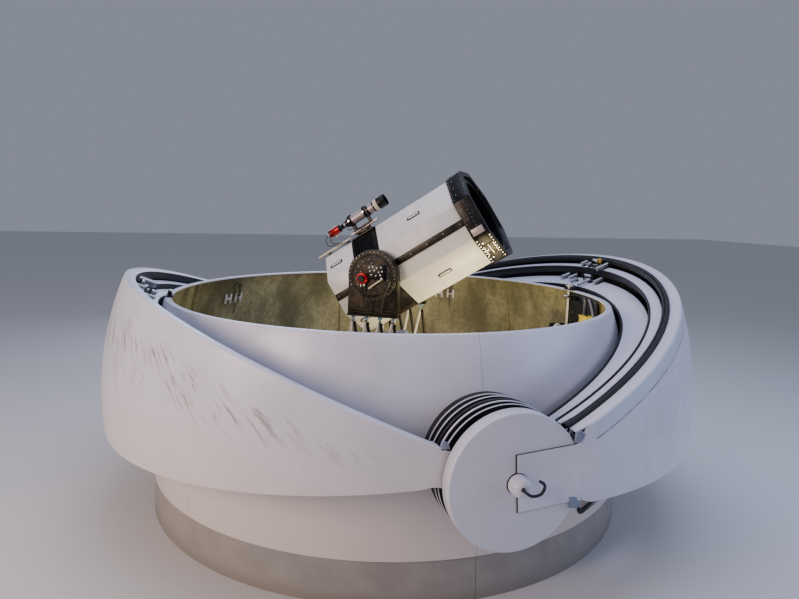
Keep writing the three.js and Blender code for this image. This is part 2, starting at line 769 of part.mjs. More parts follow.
function buildMount(group) {
  const turntable = [
    [turntableRadius - 200, pierTop + seatGap],
    [turntableRadius, pierTop + pierPlate],
    [turntableRadius, turntableTop],
  ];
  addMesh(group, 'azimuth_turntable', spunUpright(turntable, discSides), finishes.anodised);
  for (const [name, end] of [['near', -1], ['far', 1]]) {
    addMesh(group, `strut_tower_${name}`, strutTower(end), finishes.steel);
    addMesh(group, `fork_arm_${name}`, forkArm(end), finishes.anodised);
    const cap = spun([
      [bearingRadius - 4, end * (armOuter + seatGap)],
      [bearingRadius - 4, end * (armOuter + capStep)],
      [bearingRadius - 60, end * (armOuter + capStep)],
      [bearingRadius - 70, end * (armOuter + capDepth)],
    ], discSides);
    addMesh(group, `bearing_cap_${name}`, cap, finishes.anodised).position.z = altitudeHeight;
  }
  const seat = -armOuter - capDepth - seatGap;
  const motor = spun([[60, seat], [60, seat - 50], [38, seat - 50], [38, seat - 90]], shaftSides);
  const motorMesh = addMesh(group, 'altitude_motor', motor, finishes.red);
  motorMesh.position.set(motorOffset[0], 0, altitudeHeight + motorOffset[1]);
}

function buildPier() {
  const pier = spunUpright([
    [pierFoot, 0],
    [pierFoot, pierPlate],
    [pierRadius, pierPlate],
    [pierRadius, pierTop - pierPlate],
    [pierHead, pierTop - pierPlate],
    [pierHead, pierTop],
  ], 32);
  addMesh(dome, 'telescope_pier', pier, finishes.pierPaint);
}

buildCurb();
buildWall();
buildDrives();
buildPier();

const pivotGroup = new THREE.Group();
pivotGroup.position.z = hubHeight;
dome.add(pivotGroup);
buildHubs(pivotGroup);
buildHook(pivotGroup);
buildShutters(pivotGroup);
buildSeals(pivotGroup);
buildPans(pivotGroup);
buildBrackets(pivotGroup);

const mountGroup = new THREE.Group();
mountGroup.rotation.z = scopeAzimuth * degree;
dome.add(mountGroup);
buildMount(mountGroup);

const tubeGroup = new THREE.Group();
tubeGroup.position.z = altitudeHeight;
tubeGroup.rotation.y = -scopeAltitude * degree;
mountGroup.add(tubeGroup);
buildTube(tubeGroup);
buildGuider(tubeGroup);

export default dome;
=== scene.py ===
# Clamshell observatory dome, standing open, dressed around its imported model.
# Shapes are drawn in millimetres and built in metres, Z up. The shutters turn about
# a level axis along Y at hub height, and the front hub is at -Y.
import math

import bmesh
import bpy
from mathutils import Matrix, Vector


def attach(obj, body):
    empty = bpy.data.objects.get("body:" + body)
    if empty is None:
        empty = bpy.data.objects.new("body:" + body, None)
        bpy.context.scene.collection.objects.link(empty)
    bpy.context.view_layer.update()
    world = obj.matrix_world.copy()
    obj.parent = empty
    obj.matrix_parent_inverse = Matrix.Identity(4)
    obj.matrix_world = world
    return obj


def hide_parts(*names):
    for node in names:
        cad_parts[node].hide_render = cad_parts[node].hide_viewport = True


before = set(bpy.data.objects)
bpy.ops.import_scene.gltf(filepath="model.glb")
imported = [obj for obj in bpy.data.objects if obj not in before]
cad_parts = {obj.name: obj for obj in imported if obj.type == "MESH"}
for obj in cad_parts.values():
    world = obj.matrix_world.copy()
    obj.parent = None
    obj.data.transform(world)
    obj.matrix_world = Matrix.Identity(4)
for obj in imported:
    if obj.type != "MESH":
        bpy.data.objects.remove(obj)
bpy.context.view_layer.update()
print("frame loaded:", len(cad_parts), "nodes")

mm = 0.001

sizes = {                 # mm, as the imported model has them
    "hub": 1260,          # height of the shutters' axis
    "rim": 2195,
    "zone": 2613,         # radius of the barrel part of the wall
    "wallFoot": 2590,
    "wallThick": 15,
    "lip": 45,
    "curb": 380,
    "shell": 12,
    "spindle": 110,
    "flangeStart": 566,
    "bossFace": 2655,
    "panBack": 3052,
    "capFace": 3300,
}


# Small helpers

def linearColor(hexCode):
    # sRGB hex to the linear colour that nodes take
    channels = [int(hexCode[i:i + 2], 16) / 255 for i in (1, 3, 5)]
    return [c / 12.92 if c <= 0.04045 else ((c + 0.055) / 1.055) ** 2.4 for c in channels] + [1.0]


def feed(tree, node, inputs):
    # a node given as a value is linked by its first live output
    for key, value in inputs.items():
        if isinstance(value, bpy.types.Node):
            value = next(socket for socket in value.outputs if socket.enabled)
        if isinstance(value, bpy.types.NodeSocket):
            tree.links.new(value, node.inputs[key])
        else:
            node.inputs[key].default_value = value


def addNode(tree, kind, inputs=None, **settings):
    node = tree.nodes.new(kind)
    for key, value in settings.items():
        setattr(node, key, value)
    feed(tree, node, inputs or {})
    return node


def degrees(angle):
    return math.radians(angle)


def spin(angle, axis="Z"):
    return Matrix.Rotation(degrees(angle), 4, axis)


def move(x, y, z):
    return Matrix.Translation((x, y, z))


def softStep(low, high, value):
    t = min(1.0, max(0.0, (value - low) / (high - low)))
    return t * t * (3 - 2 * t)


def alongRod(start, end):
    # frame at one end with Z towards the other, and the distance between them
    axis = Vector(end) - Vector(start)
    return move(*start) @ axis.to_track_quat("Z", "Y").to_matrix().to_4x4(), axis.length


def outOf(local, x, y, z):
    # a point of a frame, with the direction of the frame's Z
    return local @ Vector((x, y, z)), local.to_3x3() @ Vector((0, 0, 1))


# Materials

def newMaterial(name, roughness, metallic=0.0, coat=0.0):
    material = bpy.data.materials.new(name)
    material.use_nodes = True
    tree = material.node_tree
    tree.nodes.clear()
    shader = addNode(tree, "ShaderNodeBsdfPrincipled", {
        "Roughness": roughness, "Metallic": metallic, "Coat Weight": coat, "Coat Roughness": 0.2,
    })
    addNode(tree, "ShaderNodeOutputMaterial", {"Surface": shader})
    return material, tree, shader


def layeredColor(tree, color, *layers):
    # each layer's colour comes in as its pattern rises from low to high, from the first
    # amount to the second
    for pattern, (low, high), (first, second), hexCode in layers:
        share = addNode(tree, "ShaderNodeMapRange", {
            "Value": pattern, "From Min": low, "From Max": high, "To Min": first, "To Max": second,
        }, interpolation_type="SMOOTHSTEP")
        color = addNode(tree, "ShaderNodeMix", {
            0: share, 6: color, 7: linearColor(hexCode),
        }, data_type="RGBA")
    return color


gelcoatLook = {
    "white": "#dcdce8",      # polyester gelcoat, a cool off-white
    "chalk": "#c9c8d0",      # where the sun has chalked it
    "streak": "#66554a",     # rain-carried dirt
    "warm": "#dccfc4",       # warmer tint towards the foot of the wall and shells
    "scuff": "#8f8f98",
    "roughness": 0.36,
    "mottle": 430,           # mm across one cloud of chalking
    "streakWidth": 46,       # mm across one run of dirt
    "rainLean": 0.75,        # share of its way that a shutter was closed while the rain ran
    "clean": (0.14, 0.3),    # metres below the leading edge: washed clean, then dirty
    "fading": (0.4, 0.85),
    "lowest": (1.3, 1.8),    # heights between which the runs start to show
    "warmHeights": (0.9, 1.9),
}


# Gelcoat sprayed in a mould over glass fibre: glossy and slightly wavy, chalked by the
# sun, with brown runs of rain-carried dirt below the leading edges
def gelcoat(name, streaks=0.0, closing=0.0, warmth=0.0, white=gelcoatLook["white"]):
    look = gelcoatLook
    material, tree, shader = newMaterial(name, look["roughness"], coat=0.2)
    spot = addNode(tree, "ShaderNodeTexCoord").outputs["Object"]
    height = addNode(tree, "ShaderNodeSeparateXYZ", {"Vector": spot}).outputs["Z"]
    clouds = addNode(tree, "ShaderNodeTexNoise", {
        "Vector": spot, "Scale": 1 / (look["mottle"] * mm), "Detail": 6, "Roughness": 0.6,
    })
    color = layeredColor(tree, linearColor(white), (clouds, (0.4, 0.75), (0, 0.6), look["chalk"]))
    if warmth:
        color = layeredColor(tree, color, (height, look["warmHeights"], (warmth, 0), look["warm"]))
    if streaks:
        dirt = rainRuns(tree, spot, height, streaks, closing)
        color = addNode(tree, "ShaderNodeMix", {
            0: dirt, 6: color, 7: linearColor(look["streak"]),
        }, data_type="RGBA")
    lay = addNode(tree, "ShaderNodeMapping", {
        "Vector": spot, "Rotation": (0.5, 0.9, 0.3), "Scale": (1, 1, 12),
    })
    scratches = addNode(tree, "ShaderNodeTexNoise", {
        "Vector": lay, "Scale": 4.5, "Detail": 7, "Roughness": 0.7,
    })
    color = layeredColor(tree, color, (scratches, (0.69, 0.76), (0, 0.4), look["scuff"]))
    gloss = addNode(tree, "ShaderNodeMapRange", {
        "Value": clouds, "From Min": 0.3, "From Max": 0.8,
        "To Min": look["roughness"] - 0.06, "To Max": look["roughness"] + 0.16,
    })
    waves = addNode(tree, "ShaderNodeTexNoise", {"Vector": spot, "Scale": 2.6, "Detail": 1})
    printThrough = addNode(tree, "ShaderNodeBump", {"Height": waves, "Strength": 0.12, "Distance": 0.02})
    feed(tree, shader, {"Base Color": color, "Roughness": gloss, "Normal": printThrough})
    return material


def rainRuns(tree, spot, height, streaks, closing):
    # closing turns the shutter to its closed place, where the runs fell along its curve
    look = gelcoatLook
    frames = [addNode(tree, "ShaderNodeMapping", {
        "Vector": spot, "Location": (0, 0, sizes["hub"] * mm), "Rotation": (0, degrees(turn), 0),
    }, vector_type="TEXTURE") for turn in (closing, closing * look["rainLean"])]
    leading, falling = (addNode(tree, "ShaderNodeSeparateXYZ", {"Vector": turned}) for turned in frames)
    away = math.copysign(1, closing)
    below, level = (addNode(tree, "ShaderNodeMath", {
        0: parts.outputs["X"], 1: away,
    }, operation="MULTIPLY") for parts in (leading, falling))
    around = addNode(tree, "ShaderNodeMath", {
        0: falling.outputs["Y"], 1: level,
    }, operation="ARCTAN2")
    sheet = addNode(tree, "ShaderNodeCombineXYZ", {"X": around, "Z": falling.outputs["Z"]})
    runs = addNode(tree, "ShaderNodeMapping", {"Vector": sheet, "Scale": (2.6, 1, 0.2)})
    fine = addNode(tree, "ShaderNodeTexNoise", {
        "Vector": runs, "Scale": 1 / (look["streakWidth"] * mm), "Detail": 4,
        "Roughness": 0.68, "Distortion": 0.35,
    })
    patches = addNode(tree, "ShaderNodeTexNoise", {"Vector": spot, "Scale": 1.7, "Detail": 4})
    thin, broken, clean, fading, lower = (addNode(tree, "ShaderNodeMapRange", {
        "Value": pattern, "From Min": low, "From Max": high, "To Min": first, "To Max": second,
    }, interpolation_type="SMOOTHSTEP") for pattern, (low, high), first, second in (
        (fine, (0.47, 0.72), 0, 1), (patches, (0.34, 0.56), 0, 1), (below, look["clean"], 0.03, 1),
        (below, look["fading"], streaks, 0.1 * streaks), (height, look["lowest"], 0.1, 1)))
    top = addNode(tree, "ShaderNodeMath", {0: clean, 1: lower}, operation="MULTIPLY")
    band = addNode(tree, "ShaderNodeMath", {0: top, 1: fading}, operation="MULTIPLY")
    where = addNode(tree, "ShaderNodeMath", {0: thin, 1: broken}, operation="MULTIPLY")
    return addNode(tree, "ShaderNodeMath", {0: where, 1: band}, operation="MULTIPLY")


laminateLook = {
    "resin": "#908a5e",      # cured resin over glass, olive in the hollow
    "dark": "#575337",
    "pale": "#b3ad85",
    "strand": 60,            # mm of one patch of chopped strand mat
}


# Unpainted back of hand-laid glass fibre: olive resin, mottled by the strand mat, rough
def handLaidLaminate():
    look = laminateLook
    material, tree, shader = newMaterial("hand-laid glass fibre", 0.6)
    spot = addNode(tree, "ShaderNodeTexCoord").outputs["Object"]
    strands = addNode(tree, "ShaderNodeTexNoise", {
        "Vector": spot, "Scale": 1 / (look["strand"] * mm), "Detail": 8, "Roughness": 0.72,
    })
    tall = addNode(tree, "ShaderNodeMapping", {"Vector": spot, "Scale": (1, 1, 0.45)})
    patches = addNode(tree, "ShaderNodeTexNoise", {"Vector": tall, "Scale": 2.2, "Detail": 4})
    color = layeredColor(
        tree, linearColor(look["resin"]),
        (strands, (0.36, 0.64), (0, 1), look["pale"]), (patches, (0.35, 0.68), (0, 0.8), look["dark"]))
    lumps = addNode(tree, "ShaderNodeBump", {"Height": strands, "Strength": 0.5, "Distance": 0.006})
    feed(tree, shader, {"Base Color": color, "Normal": lumps})
    return material


concreteLook = {"base": "#918d89", "light": "#9f9a95", "stain": "#79736c", "pore": 14}


# Smooth cast concrete ring: cloudy grey with small pores, stained where splashes dry
def castConcrete():
    look = concreteLook
    material, tree, shader = newMaterial("cast concrete", 0.85)
    spot = addNode(tree, "ShaderNodeTexCoord").outputs["Object"]
    clouds = addNode(tree, "ShaderNodeTexNoise", {
        "Vector": spot, "Scale": 3.1, "Detail": 7, "Roughness": 0.62,
    })
    pores = addNode(tree, "ShaderNodeTexNoise", {
        "Vector": spot, "Scale": 1 / (look["pore"] * mm), "Detail": 3,
    })
    height = addNode(tree, "ShaderNodeSeparateXYZ", {"Vector": spot}).outputs["Z"]
    drift = addNode(tree, "ShaderNodeMath", {0: clouds, 1: -0.3}, operation="MULTIPLY")
    ragged = addNode(tree, "ShaderNodeMath", {0: height, 1: drift}, operation="ADD")
    color = layeredColor(
        tree, linearColor(look["base"]),
        (clouds, (0.32, 0.68), (0, 1), look["light"]), (ragged, (-0.14, 0.0), (0.5, 0), look["stain"]))
    pits = addNode(tree, "ShaderNodeMapRange", {
        "Value": pores, "From Min": 0.64, "From Max": 0.72, "To Max": 0.3,
    }, interpolation_type="SMOOTHSTEP")
    color = addNode(tree, "ShaderNodeMix", {
        0: pits, 6: color, 7: linearColor(look["stain"]),
    }, data_type="RGBA")
    relief = addNode(tree, "ShaderNodeBump", {"Height": pits, "Strength": 0.3, "Distance": -0.003})
    feed(tree, shader, {"Base Color": color, "Normal": relief})
    return material


# Paint, anodising, rubber or plastic: a base colour with lighter dusty clouds and a fine
# grain; grain is the size in mm of one speck, drawn coarse enough to show
def coated(name, hexCode, dust, roughness, metallic=0.0, dustiness=0.4, grain=3.0, relief=0.1):
    material, tree, shader = newMaterial(name, roughness, metallic)
    spot = addNode(tree, "ShaderNodeTexCoord").outputs["Object"]
    clouds = addNode(tree, "ShaderNodeTexNoise", {
        "Vector": spot, "Scale": 7.5, "Detail": 6, "Roughness": 0.62,
    })
    specks = addNode(tree, "ShaderNodeTexNoise", {"Vector": spot, "Scale": 1 / (grain * mm), "Detail": 2})
    color = layeredColor(
        tree, linearColor(hexCode),
        (clouds, (0.42, 0.72), (0, dustiness), dust), (specks, (0.6, 0.7), (0, dustiness * 0.6), dust))
    gloss = addNode(tree, "ShaderNodeMapRange", {
        "Value": clouds, "From Min": 0.3, "From Max": 0.75,
        "To Min": max(0.05, roughness - 0.07), "To Max": roughness + 0.1,
    })
    skin = addNode(tree, "ShaderNodeBump", {"Height": specks, "Strength": relief, "Distance": 0.0008})
    feed(tree, shader, {"Base Color": color, "Roughness": gloss, "Normal": skin})
    return material


# Bare machined or plated metal: fine lay from the cutter, dull where it is handled
def machined(name, hexCode, roughness):
    material, tree, shader = newMaterial(name, roughness, 1.0)
    spot = addNode(tree, "ShaderNodeTexCoord").outputs["Object"]
    along = addNode(tree, "ShaderNodeMapping", {"Vector": spot, "Scale": (1, 1, 30)})
    lines = addNode(tree, "ShaderNodeTexNoise", {"Vector": along, "Scale": 16, "Detail": 6})
    shade = linearColor(hexCode)
    color = addNode(tree, "ShaderNodeMix", {
        0: lines, 6: shade, 7: [c * 0.6 for c in shade[:3]] + [1.0],
    }, data_type="RGBA")
    gloss = addNode(tree, "ShaderNodeMapRange", {
        "Value": lines, "From Min": 0.3, "From Max": 0.7,
        "To Min": max(0.05, roughness - 0.08), "To Max": roughness + 0.14,
    })
    feed(tree, shader, {"Base Color": color, "Roughness": gloss})
    return material


materials = {
    "leftShell": gelcoat("weathered gelcoat", streaks=1.0, closing=-67.25, warmth=0.55),
    "rightShell": gelcoat("sheltered gelcoat", streaks=0.3, closing=68),
    "wallSkin": gelcoat("wall gelcoat", warmth=0.8),
    "hubSkin": gelcoat("hub gelcoat", white="#d6d6df"),
    "strip": gelcoat("bonding strip gelcoat", white="#d3dcea"),
    "laminate": handLaidLaminate(),
    # near-black flow coat on the shutters' inner faces: a dark coat, darkened further as painted shade for
    # the shadow between the nested shells
    "flowCoat": coated("flow coat over laminate, black for painted shade", "#242529", "#4a4a50", 0.6, grain=7.0, relief=0.4),
    "concrete": castConcrete(),
    "rubber": coated("EPDM rubber", "#0c0d0f", "#3c3c40", 0.62, dustiness=0.22, relief=0.2),
    "sealant": coated("joint sealant", "#3e3e44", "#6a6a70", 0.7),
    "dirtyEdge": coated("dark ragged line under the strip", "#43434d", "#c6cad6", 0.6, dustiness=1.0, grain=9.0),
    "spacer": coated("black spacer paint", "#090a0d", "#2c2c30", 0.5, dustiness=0.25),
    "anodised": coated("black anodised aluminium", "#1a1712", "#5d5238", 0.4, 0.45, dustiness=0.55),
    "darkAnodised": coated("deep black anodised aluminium", "#0b0c0e", "#2b2b2c", 0.36, 0.3),
    "tubeWhite": coated("white powder coat", "#eceae4", "#d8d5cc", 0.34, dustiness=0.5),
    "steel": machined("zinc plated steel", "#b9bcc0", 0.3),
    "chrome": machined("polished stainless steel", "#e2e3e6", 0.14),
    "brass": machined("turned brass", "#cfa64a", 0.22),
    "red": coated("red anodised aluminium", "#b50f18", "#e04a44", 0.28, 0.5, dustiness=0.3),
    "blue": coated("pale blue joint plastic", "#8fc1e4", "#b8d6ea", 0.35),
    "grey": coated("grey enamel", "#6d6f78", "#8a8c94", 0.45),
    "fitting": coated("blue grey enamel", "#7f8aa0", "#a3adbf", 0.45),
    "pier": coated("pier enamel", "#c6c7c5", "#a5a6a4", 0.45),
    "yellow": coated("yellow enamel", "#dcc63a", "#b7a432", 0.4),
    "nylon": coated("white nylon", "#e9e8e3", "#c9c8c2", 0.42),
    "alloy": coated("bare grey alloy", "#b9a9a8", "#d3c6c4", 0.4, 0.4),
    "cream": coated("cream enamel", "#e5d9bf", "#cdbf9f", 0.4),
    "belt": coated("polyester belt", "#e8e5da", "#c4c0b2", 0.6, relief=0.4),
    "cable": coated("cable jacket", "#15161a", "#3a3b40", 0.5),
    "glass": coated("coated glass", "#0d1420", "#27344a", 0.06),
}
print("materials made:", len(materials))


# Mesh building

class Shape:
    # collects closed solids in one mesh, in millimetres; every face names its material

    def __init__(self, place=None):
        self.place = place
        self.points = []
        self.faces = []
        self.paints = []

    def add(self, points, faces, paints, place=None):
        base = len(self.points)
        for whole in (place, self.place):
            if whole is not None:
                points = [whole @ Vector(p) for p in points]
        self.points += [tuple(p) for p in points]
        self.faces += [[base + i for i in face] for face in faces]
        self.paints += [paints] * len(faces) if isinstance(paints, str) else list(paints)

    def loops(self, rings, paint, place=None, closed=False, capped=True):
        # skin between rings of points, each closed on itself; paint may name one material an edge
        count = len(rings[0])
        edgePaints = [paint] * count if isinstance(paint, str) else paint
        faces = []
        paints = []
        for i in range(len(rings) if closed else len(rings) - 1):
            near = i * count
            far = (i + 1) % len(rings) * count
            for j in range(count):
                k = (j + 1) % count
                faces.append([near + j, near + k, far + k, far + j])
                paints.append(edgePaints[j])
        if capped and not closed:
            faces.append(list(reversed(range(count))))
            faces.append([(len(rings) - 1) * count + j for j in range(count)])
            paints += [edgePaints[0]] * 2
        self.add([p for ring in rings for p in ring], faces, paints, place)

    def plate(self, outline, low, high, paint, place=None):
        # outline of (x, y) points, run along Z
        self.loops([[(x, y, z) for x, y in outline] for z in sorted((low, high))], paint, place)

    def box(self, corner, opposite, paint, place=None):
        (x0, x1), (y0, y1), (z0, z1) = (sorted(pair) for pair in zip(corner, opposite))
        self.plate([(x0, y0), (x1, y0), (x1, y1), (x0, y1)], z0, z1, paint, place)

    def turned(self, profile, paint, place=None, sides=40):
        # (radius, along Z) pairs from one end of a solid to the other
        turns = [math.tau * i / sides for i in range(sides)]
        rings = [[(r * math.cos(t), r * math.sin(t), along) for t in turns] for r, along in profile]
        self.loops(rings, paint, place)

    def ringTurned(self, profile, paint, place=None, start=0.0, sweep=360.0, steps=72):
        # closed profile of (radius, along Z) turned about Z
        full = sweep >= 360
        turns = [degrees(start + sweep * i / steps) for i in range(steps if full else steps + 1)]
        rings = [[(r * math.cos(t), r * math.sin(t), z) for r, z in profile] for t in turns]
        self.loops(rings, paint, place, closed=full)

    def rod(self, start, end, radius, paint, place=None, sides=16, tip=None):
        # round bar; tip is the radius at its end
        local, length = alongRod(start, end)
        local = local if place is None else place @ local
        self.turned([(radius, 0), (tip or radius, length)], paint, local, sides)

    def build(self, name, sharp=34, bevel=0.0):
        names = sorted(set(self.paints))
        mesh = bpy.data.meshes.new(name)
        mesh.from_pydata([[c * mm for c in p] for p in self.points], [], self.faces)
        for paint in names:
            mesh.materials.append(materials[paint])
        mesh.polygons.foreach_set("material_index", [names.index(p) for p in self.paints])
        piece = newObject(name, mesh)
        tidyMesh(mesh)
        if bevel:
            edges = piece.modifiers.new("soft edges", "BEVEL")
            edges.width = bevel * mm
            edges.segments = 2
            edges.limit_method = "ANGLE"
            edges.angle_limit = degrees(sharp)
            applyModifiers(piece)
        shadeByAngle(piece.data, sharp)
        return piece

    def fit(self, name, body, slotName, *nodes, sharp=34, bevel=0.0):
        place(self.build(name, sharp, bevel), body, slotName, *nodes)


def newObject(name, data):
    thing = bpy.data.objects.new(name, data)
    bpy.context.scene.collection.objects.link(thing)
    return thing


def tidyMesh(mesh):
    work = bmesh.new()
    work.from_mesh(mesh)
    bmesh.ops.remove_doubles(work, verts=work.verts, dist=4e-6)
    bmesh.ops.recalc_face_normals(work, faces=work.faces)
    work.to_mesh(mesh)
    work.free()


def shadeByAngle(mesh, sharp=34):
    mesh.polygons.foreach_set("use_smooth", [True] * len(mesh.polygons))
    mesh.set_sharp_from_angle(angle=degrees(sharp))


def applyModifiers(piece):
    graph = bpy.context.evaluated_depsgraph_get()
    made = bpy.data.meshes.new_from_object(piece.evaluated_get(graph), depsgraph=graph)
    piece.modifiers.clear()
    piece.data = made


def place(piece, body, slotName, *nodes):
    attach(piece, body)
    if nodes:
        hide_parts(*nodes)
    return piece


def curveThrough(points, steps=6):
    # Catmull-Rom curve
    points = [Vector(p) for p in points]
    ends = [2 * points[0] - points[1]] + points + [2 * points[-1] - points[-2]]
    out = []
    for a, b, c, d in zip(ends, ends[1:], ends[2:], ends[3:]):
        for i in range(steps):
            t = i / steps
            out.append(0.5 * (2 * b + (c - a) * t + (2 * a - 5 * b + 4 * c - d) * t * t
                              + (3 * b - a - 3 * c + d) * t ** 3))
    return out + [points[-1]]


def arcPoints(centre, radius, start, end, steps):
    # (x, y) points on an arc; angles in degrees
    turns = [degrees(start + (end - start) * i / steps) for i in range(steps + 1)]
    return [(centre[0] + radius * math.cos(t), centre[1] + radius * math.sin(t)) for t in turns]


def roundedRectangle(halfWidth, halfHeight, corner, steps=6):
    out = []
    for sx, sy, start in ((1, 1, 0), (-1, 1, 90), (-1, -1, 180), (1, -1, 270)):
        centre = (sx * (halfWidth - corner), sy * (halfHeight - corner))
        out += arcPoints(centre, corner, start, start + 90, steps)
    return out


# Geometry Nodes: screw heads on points, cables along paths, fins in rows, turned panels

def openTree(name, **sockets):
    tree = bpy.data.node_groups.new(name, "GeometryNodeTree")
    tree.interface.new_socket("Geometry", in_out="INPUT", socket_type="NodeSocketGeometry")
    for label, kind in sockets.items():
        tree.interface.new_socket(label, in_out="INPUT", socket_type="NodeSocket" + kind)
    tree.interface.new_socket("Geometry", in_out="OUTPUT", socket_type="NodeSocketGeometry")
    return tree, addNode(tree, "NodeGroupInput").outputs


def painted(tree, geometry, paint):
    real = addNode(tree, "GeometryNodeRealizeInstances", {"Geometry": geometry})
    return addNode(tree, "GeometryNodeSetMaterial", {"Geometry": real, "Material": paint})


def screwNodes():
    tree, given = openTree("screw heads", Radius="Float", Height="Float", Sides="Int", Metal="Material")
    top = addNode(tree, "ShaderNodeMath", {0: given["Radius"], 1: 0.74}, operation="MULTIPLY")
    head = addNode(tree, "GeometryNodeMeshCone", {
        "Vertices": given["Sides"], "Radius Top": top, "Radius Bottom": given["Radius"],
        "Depth": given["Height"],
    })
    facing = addNode(tree, "GeometryNodeInputNamedAttribute", {
        "Name": "facing",
    }, data_type="FLOAT_VECTOR")
    turn = addNode(tree, "FunctionNodeAlignRotationToVector", {"Vector": facing}, axis="Z")
    spread = addNode(tree, "GeometryNodeInstanceOnPoints", {
        "Points": given["Geometry"], "Instance": head, "Rotation": turn,
    })
    addNode(tree, "NodeGroupOutput", {0: painted(tree, spread, given["Metal"])})
    return tree


def cableNodes():
    tree, given = openTree("cables", Radius="Float", Sides="Int", Jacket="Material")
    path = addNode(tree, "GeometryNodeMeshToCurve", {"Mesh": given["Geometry"]})
    circle = addNode(tree, "GeometryNodeCurvePrimitiveCircle", {
        "Resolution": given["Sides"], "Radius": given["Radius"],
    })
    tube = addNode(tree, "GeometryNodeCurveToMesh", {
        "Curve": path, "Profile Curve": circle.outputs["Curve"], "Fill Caps": True,
    })
    addNode(tree, "NodeGroupOutput", {0: painted(tree, tube, given["Jacket"])})
    return tree


def finNodes():
    tree, given = openTree("fins", Size="Vector", Metal="Material")
    fin = addNode(tree, "GeometryNodeMeshCube", {"Size": given["Size"]})
    facing, across = (addNode(tree, "GeometryNodeInputNamedAttribute", {
        "Name": label,
    }, data_type="FLOAT_VECTOR") for label in ("facing", "across"))
    upright = addNode(tree, "FunctionNodeAlignRotationToVector", {"Vector": facing}, axis="Z")
    turn = addNode(tree, "FunctionNodeAlignRotationToVector", {
        "Rotation": upright, "Vector": across,
    }, axis="X", pivot_axis="Z")
    spread = addNode(tree, "GeometryNodeInstanceOnPoints", {
        "Points": given["Geometry"], "Instance": fin, "Rotation": turn,
    })
    addNode(tree, "NodeGroupOutput", {0: painted(tree, spread, given["Metal"])})
    return tree


def turnedPanelNodes():
    # sweeps a profile round an upright axis; points marked as inside get the second material
    tree, given = openTree(
        "turned panel", Radius="Float", Start="Float", Sweep="Float", Steps="Int",
        Outside="Material", Inside="Material")
    profile = addNode(tree, "GeometryNodeMeshToCurve", {"Mesh": given["Geometry"]})
    arc = addNode(tree, "GeometryNodeCurveArc", {
        "Resolution": given["Steps"], "Radius": given["Radius"],
        "Start Angle": given["Start"], "Sweep Angle": given["Sweep"],
    })
    outwards = addNode(tree, "GeometryNodeInputPosition")
    upright = addNode(tree, "GeometryNodeSetCurveNormal", {
        "Curve": arc.outputs["Curve"], "Normal": outwards,
    }, mode="FREE")
    panel = addNode(tree, "GeometryNodeCurveToMesh", {
        "Curve": upright, "Profile Curve": profile, "Fill Caps": True,
    })
    mark = addNode(tree, "GeometryNodeInputNamedAttribute", {"Name": "inside"}, data_type="FLOAT")
    inner = addNode(tree, "FunctionNodeCompare", {0: mark, 1: 0.9}, operation="GREATER_THAN")
    back = addNode(tree, "GeometryNodeSetMaterial", {
        "Geometry": painted(tree, panel, given["Outside"]), "Selection": inner,
        "Material": given["Inside"],
    })
    addNode(tree, "NodeGroupOutput", {0: back})
    return tree


nodeTrees = {
    "screws": screwNodes(), "cables": cableNodes(), "fins": finNodes(), "panels": turnedPanelNodes(),
}


def grown(name, tree, mesh, values):
    # runs a tree on a mesh and keeps the result as a plain mesh
    piece = newObject(name, mesh)
    modifier = piece.modifiers.new(name, "NODES")
    modifier.node_group = nodeTrees[tree]
    for item in nodeTrees[tree].interface.items_tree:
        if item.item_type == "SOCKET" and item.in_out == "INPUT" and item.name in values:
            modifier[item.identifier] = values[item.name]
    applyModifiers(piece)
    tidyMesh(piece.data)
    shadeByAngle(piece.data)
    return piece


def pointMesh(name, spots, *labels):
    # spots are (point, direction, ...) in mm; each direction becomes an attribute
    mesh = bpy.data.meshes.new(name)
    mesh.from_pydata([[c * mm for c in spot[0]] for spot in spots], [], [])
    for index, label in enumerate(labels, 1):
        field = mesh.attributes.new(label, "FLOAT_VECTOR", "POINT")
        field.data.foreach_set("vector", [c for spot in spots for c in spot[index]])
    return mesh


def screws(name, spots, radius, height, body, metal="chrome", sides=8, matrix=None):
    if matrix is not None:
        turn = matrix.to_3x3()
        spots = [(matrix @ Vector(p), turn @ Vector(d)) for p, d in spots]
    values = {"Radius": radius * mm, "Height": height * mm, "Sides": sides, "Metal": materials[metal]}
    place(grown(name, "screws", pointMesh(name, spots, "facing"), values), body, "bare_steel")


def fins(name, spots, size, metal, body, slotName, matrix):
    turn = matrix.to_3x3()
    spots = [(matrix @ Vector(p), turn @ Vector(d), turn @ Vector(a)) for p, d, a in spots]
    values = {"Size": [c * mm for c in size], "Metal": materials[metal]}
    place(grown(name, "fins", pointMesh(name, spots, "facing", "across"), values), body, slotName)


def cables(name, paths, radius, body, jacket="cable", slotName="seal_rubber", sides=10, matrix=None):
    points = []
    edges = []
    for path in paths:
        path = curveThrough(path)
        if matrix is not None:
            path = [matrix @ p for p in path]
        edges += [(len(points) + i, len(points) + i + 1) for i in range(len(path) - 1)]
        points += [p * mm for p in path]
    mesh = bpy.data.meshes.new(name)
    mesh.from_pydata(points, edges, [])
    values = {"Radius": radius * mm, "Sides": sides, "Jacket": materials[jacket]}
    return place(grown(name, "cables", mesh, values), body, slotName)


print("geometry node trees made:", len(nodeTrees))


# Camera, light and floor

view = {
    "place": (-2.1539, -7.0032, 3.1830), "forward": (0.3055, 0.9412, -0.1439),
    "roll": 0.0268, "lens": 28.83, "sensor": 36,
}


def setCamera():
    camera = newObject("camera", bpy.data.cameras.new("camera"))
    camera.data.lens = view["lens"]
    camera.data.sensor_width = view["sensor"]
    ahead = Vector(view["forward"]).normalized()
    level = ahead.cross(Vector((0, 0, 1))).normalized()
    above = level.cross(ahead)
    across = math.cos(view["roll"]) * level + math.sin(view["roll"]) * above
    turn = Matrix((across, across.cross(ahead), -ahead)).transposed()
    camera.matrix_world = move(*view["place"]) @ turn.to_4x4()
    bpy.context.scene.camera = camera


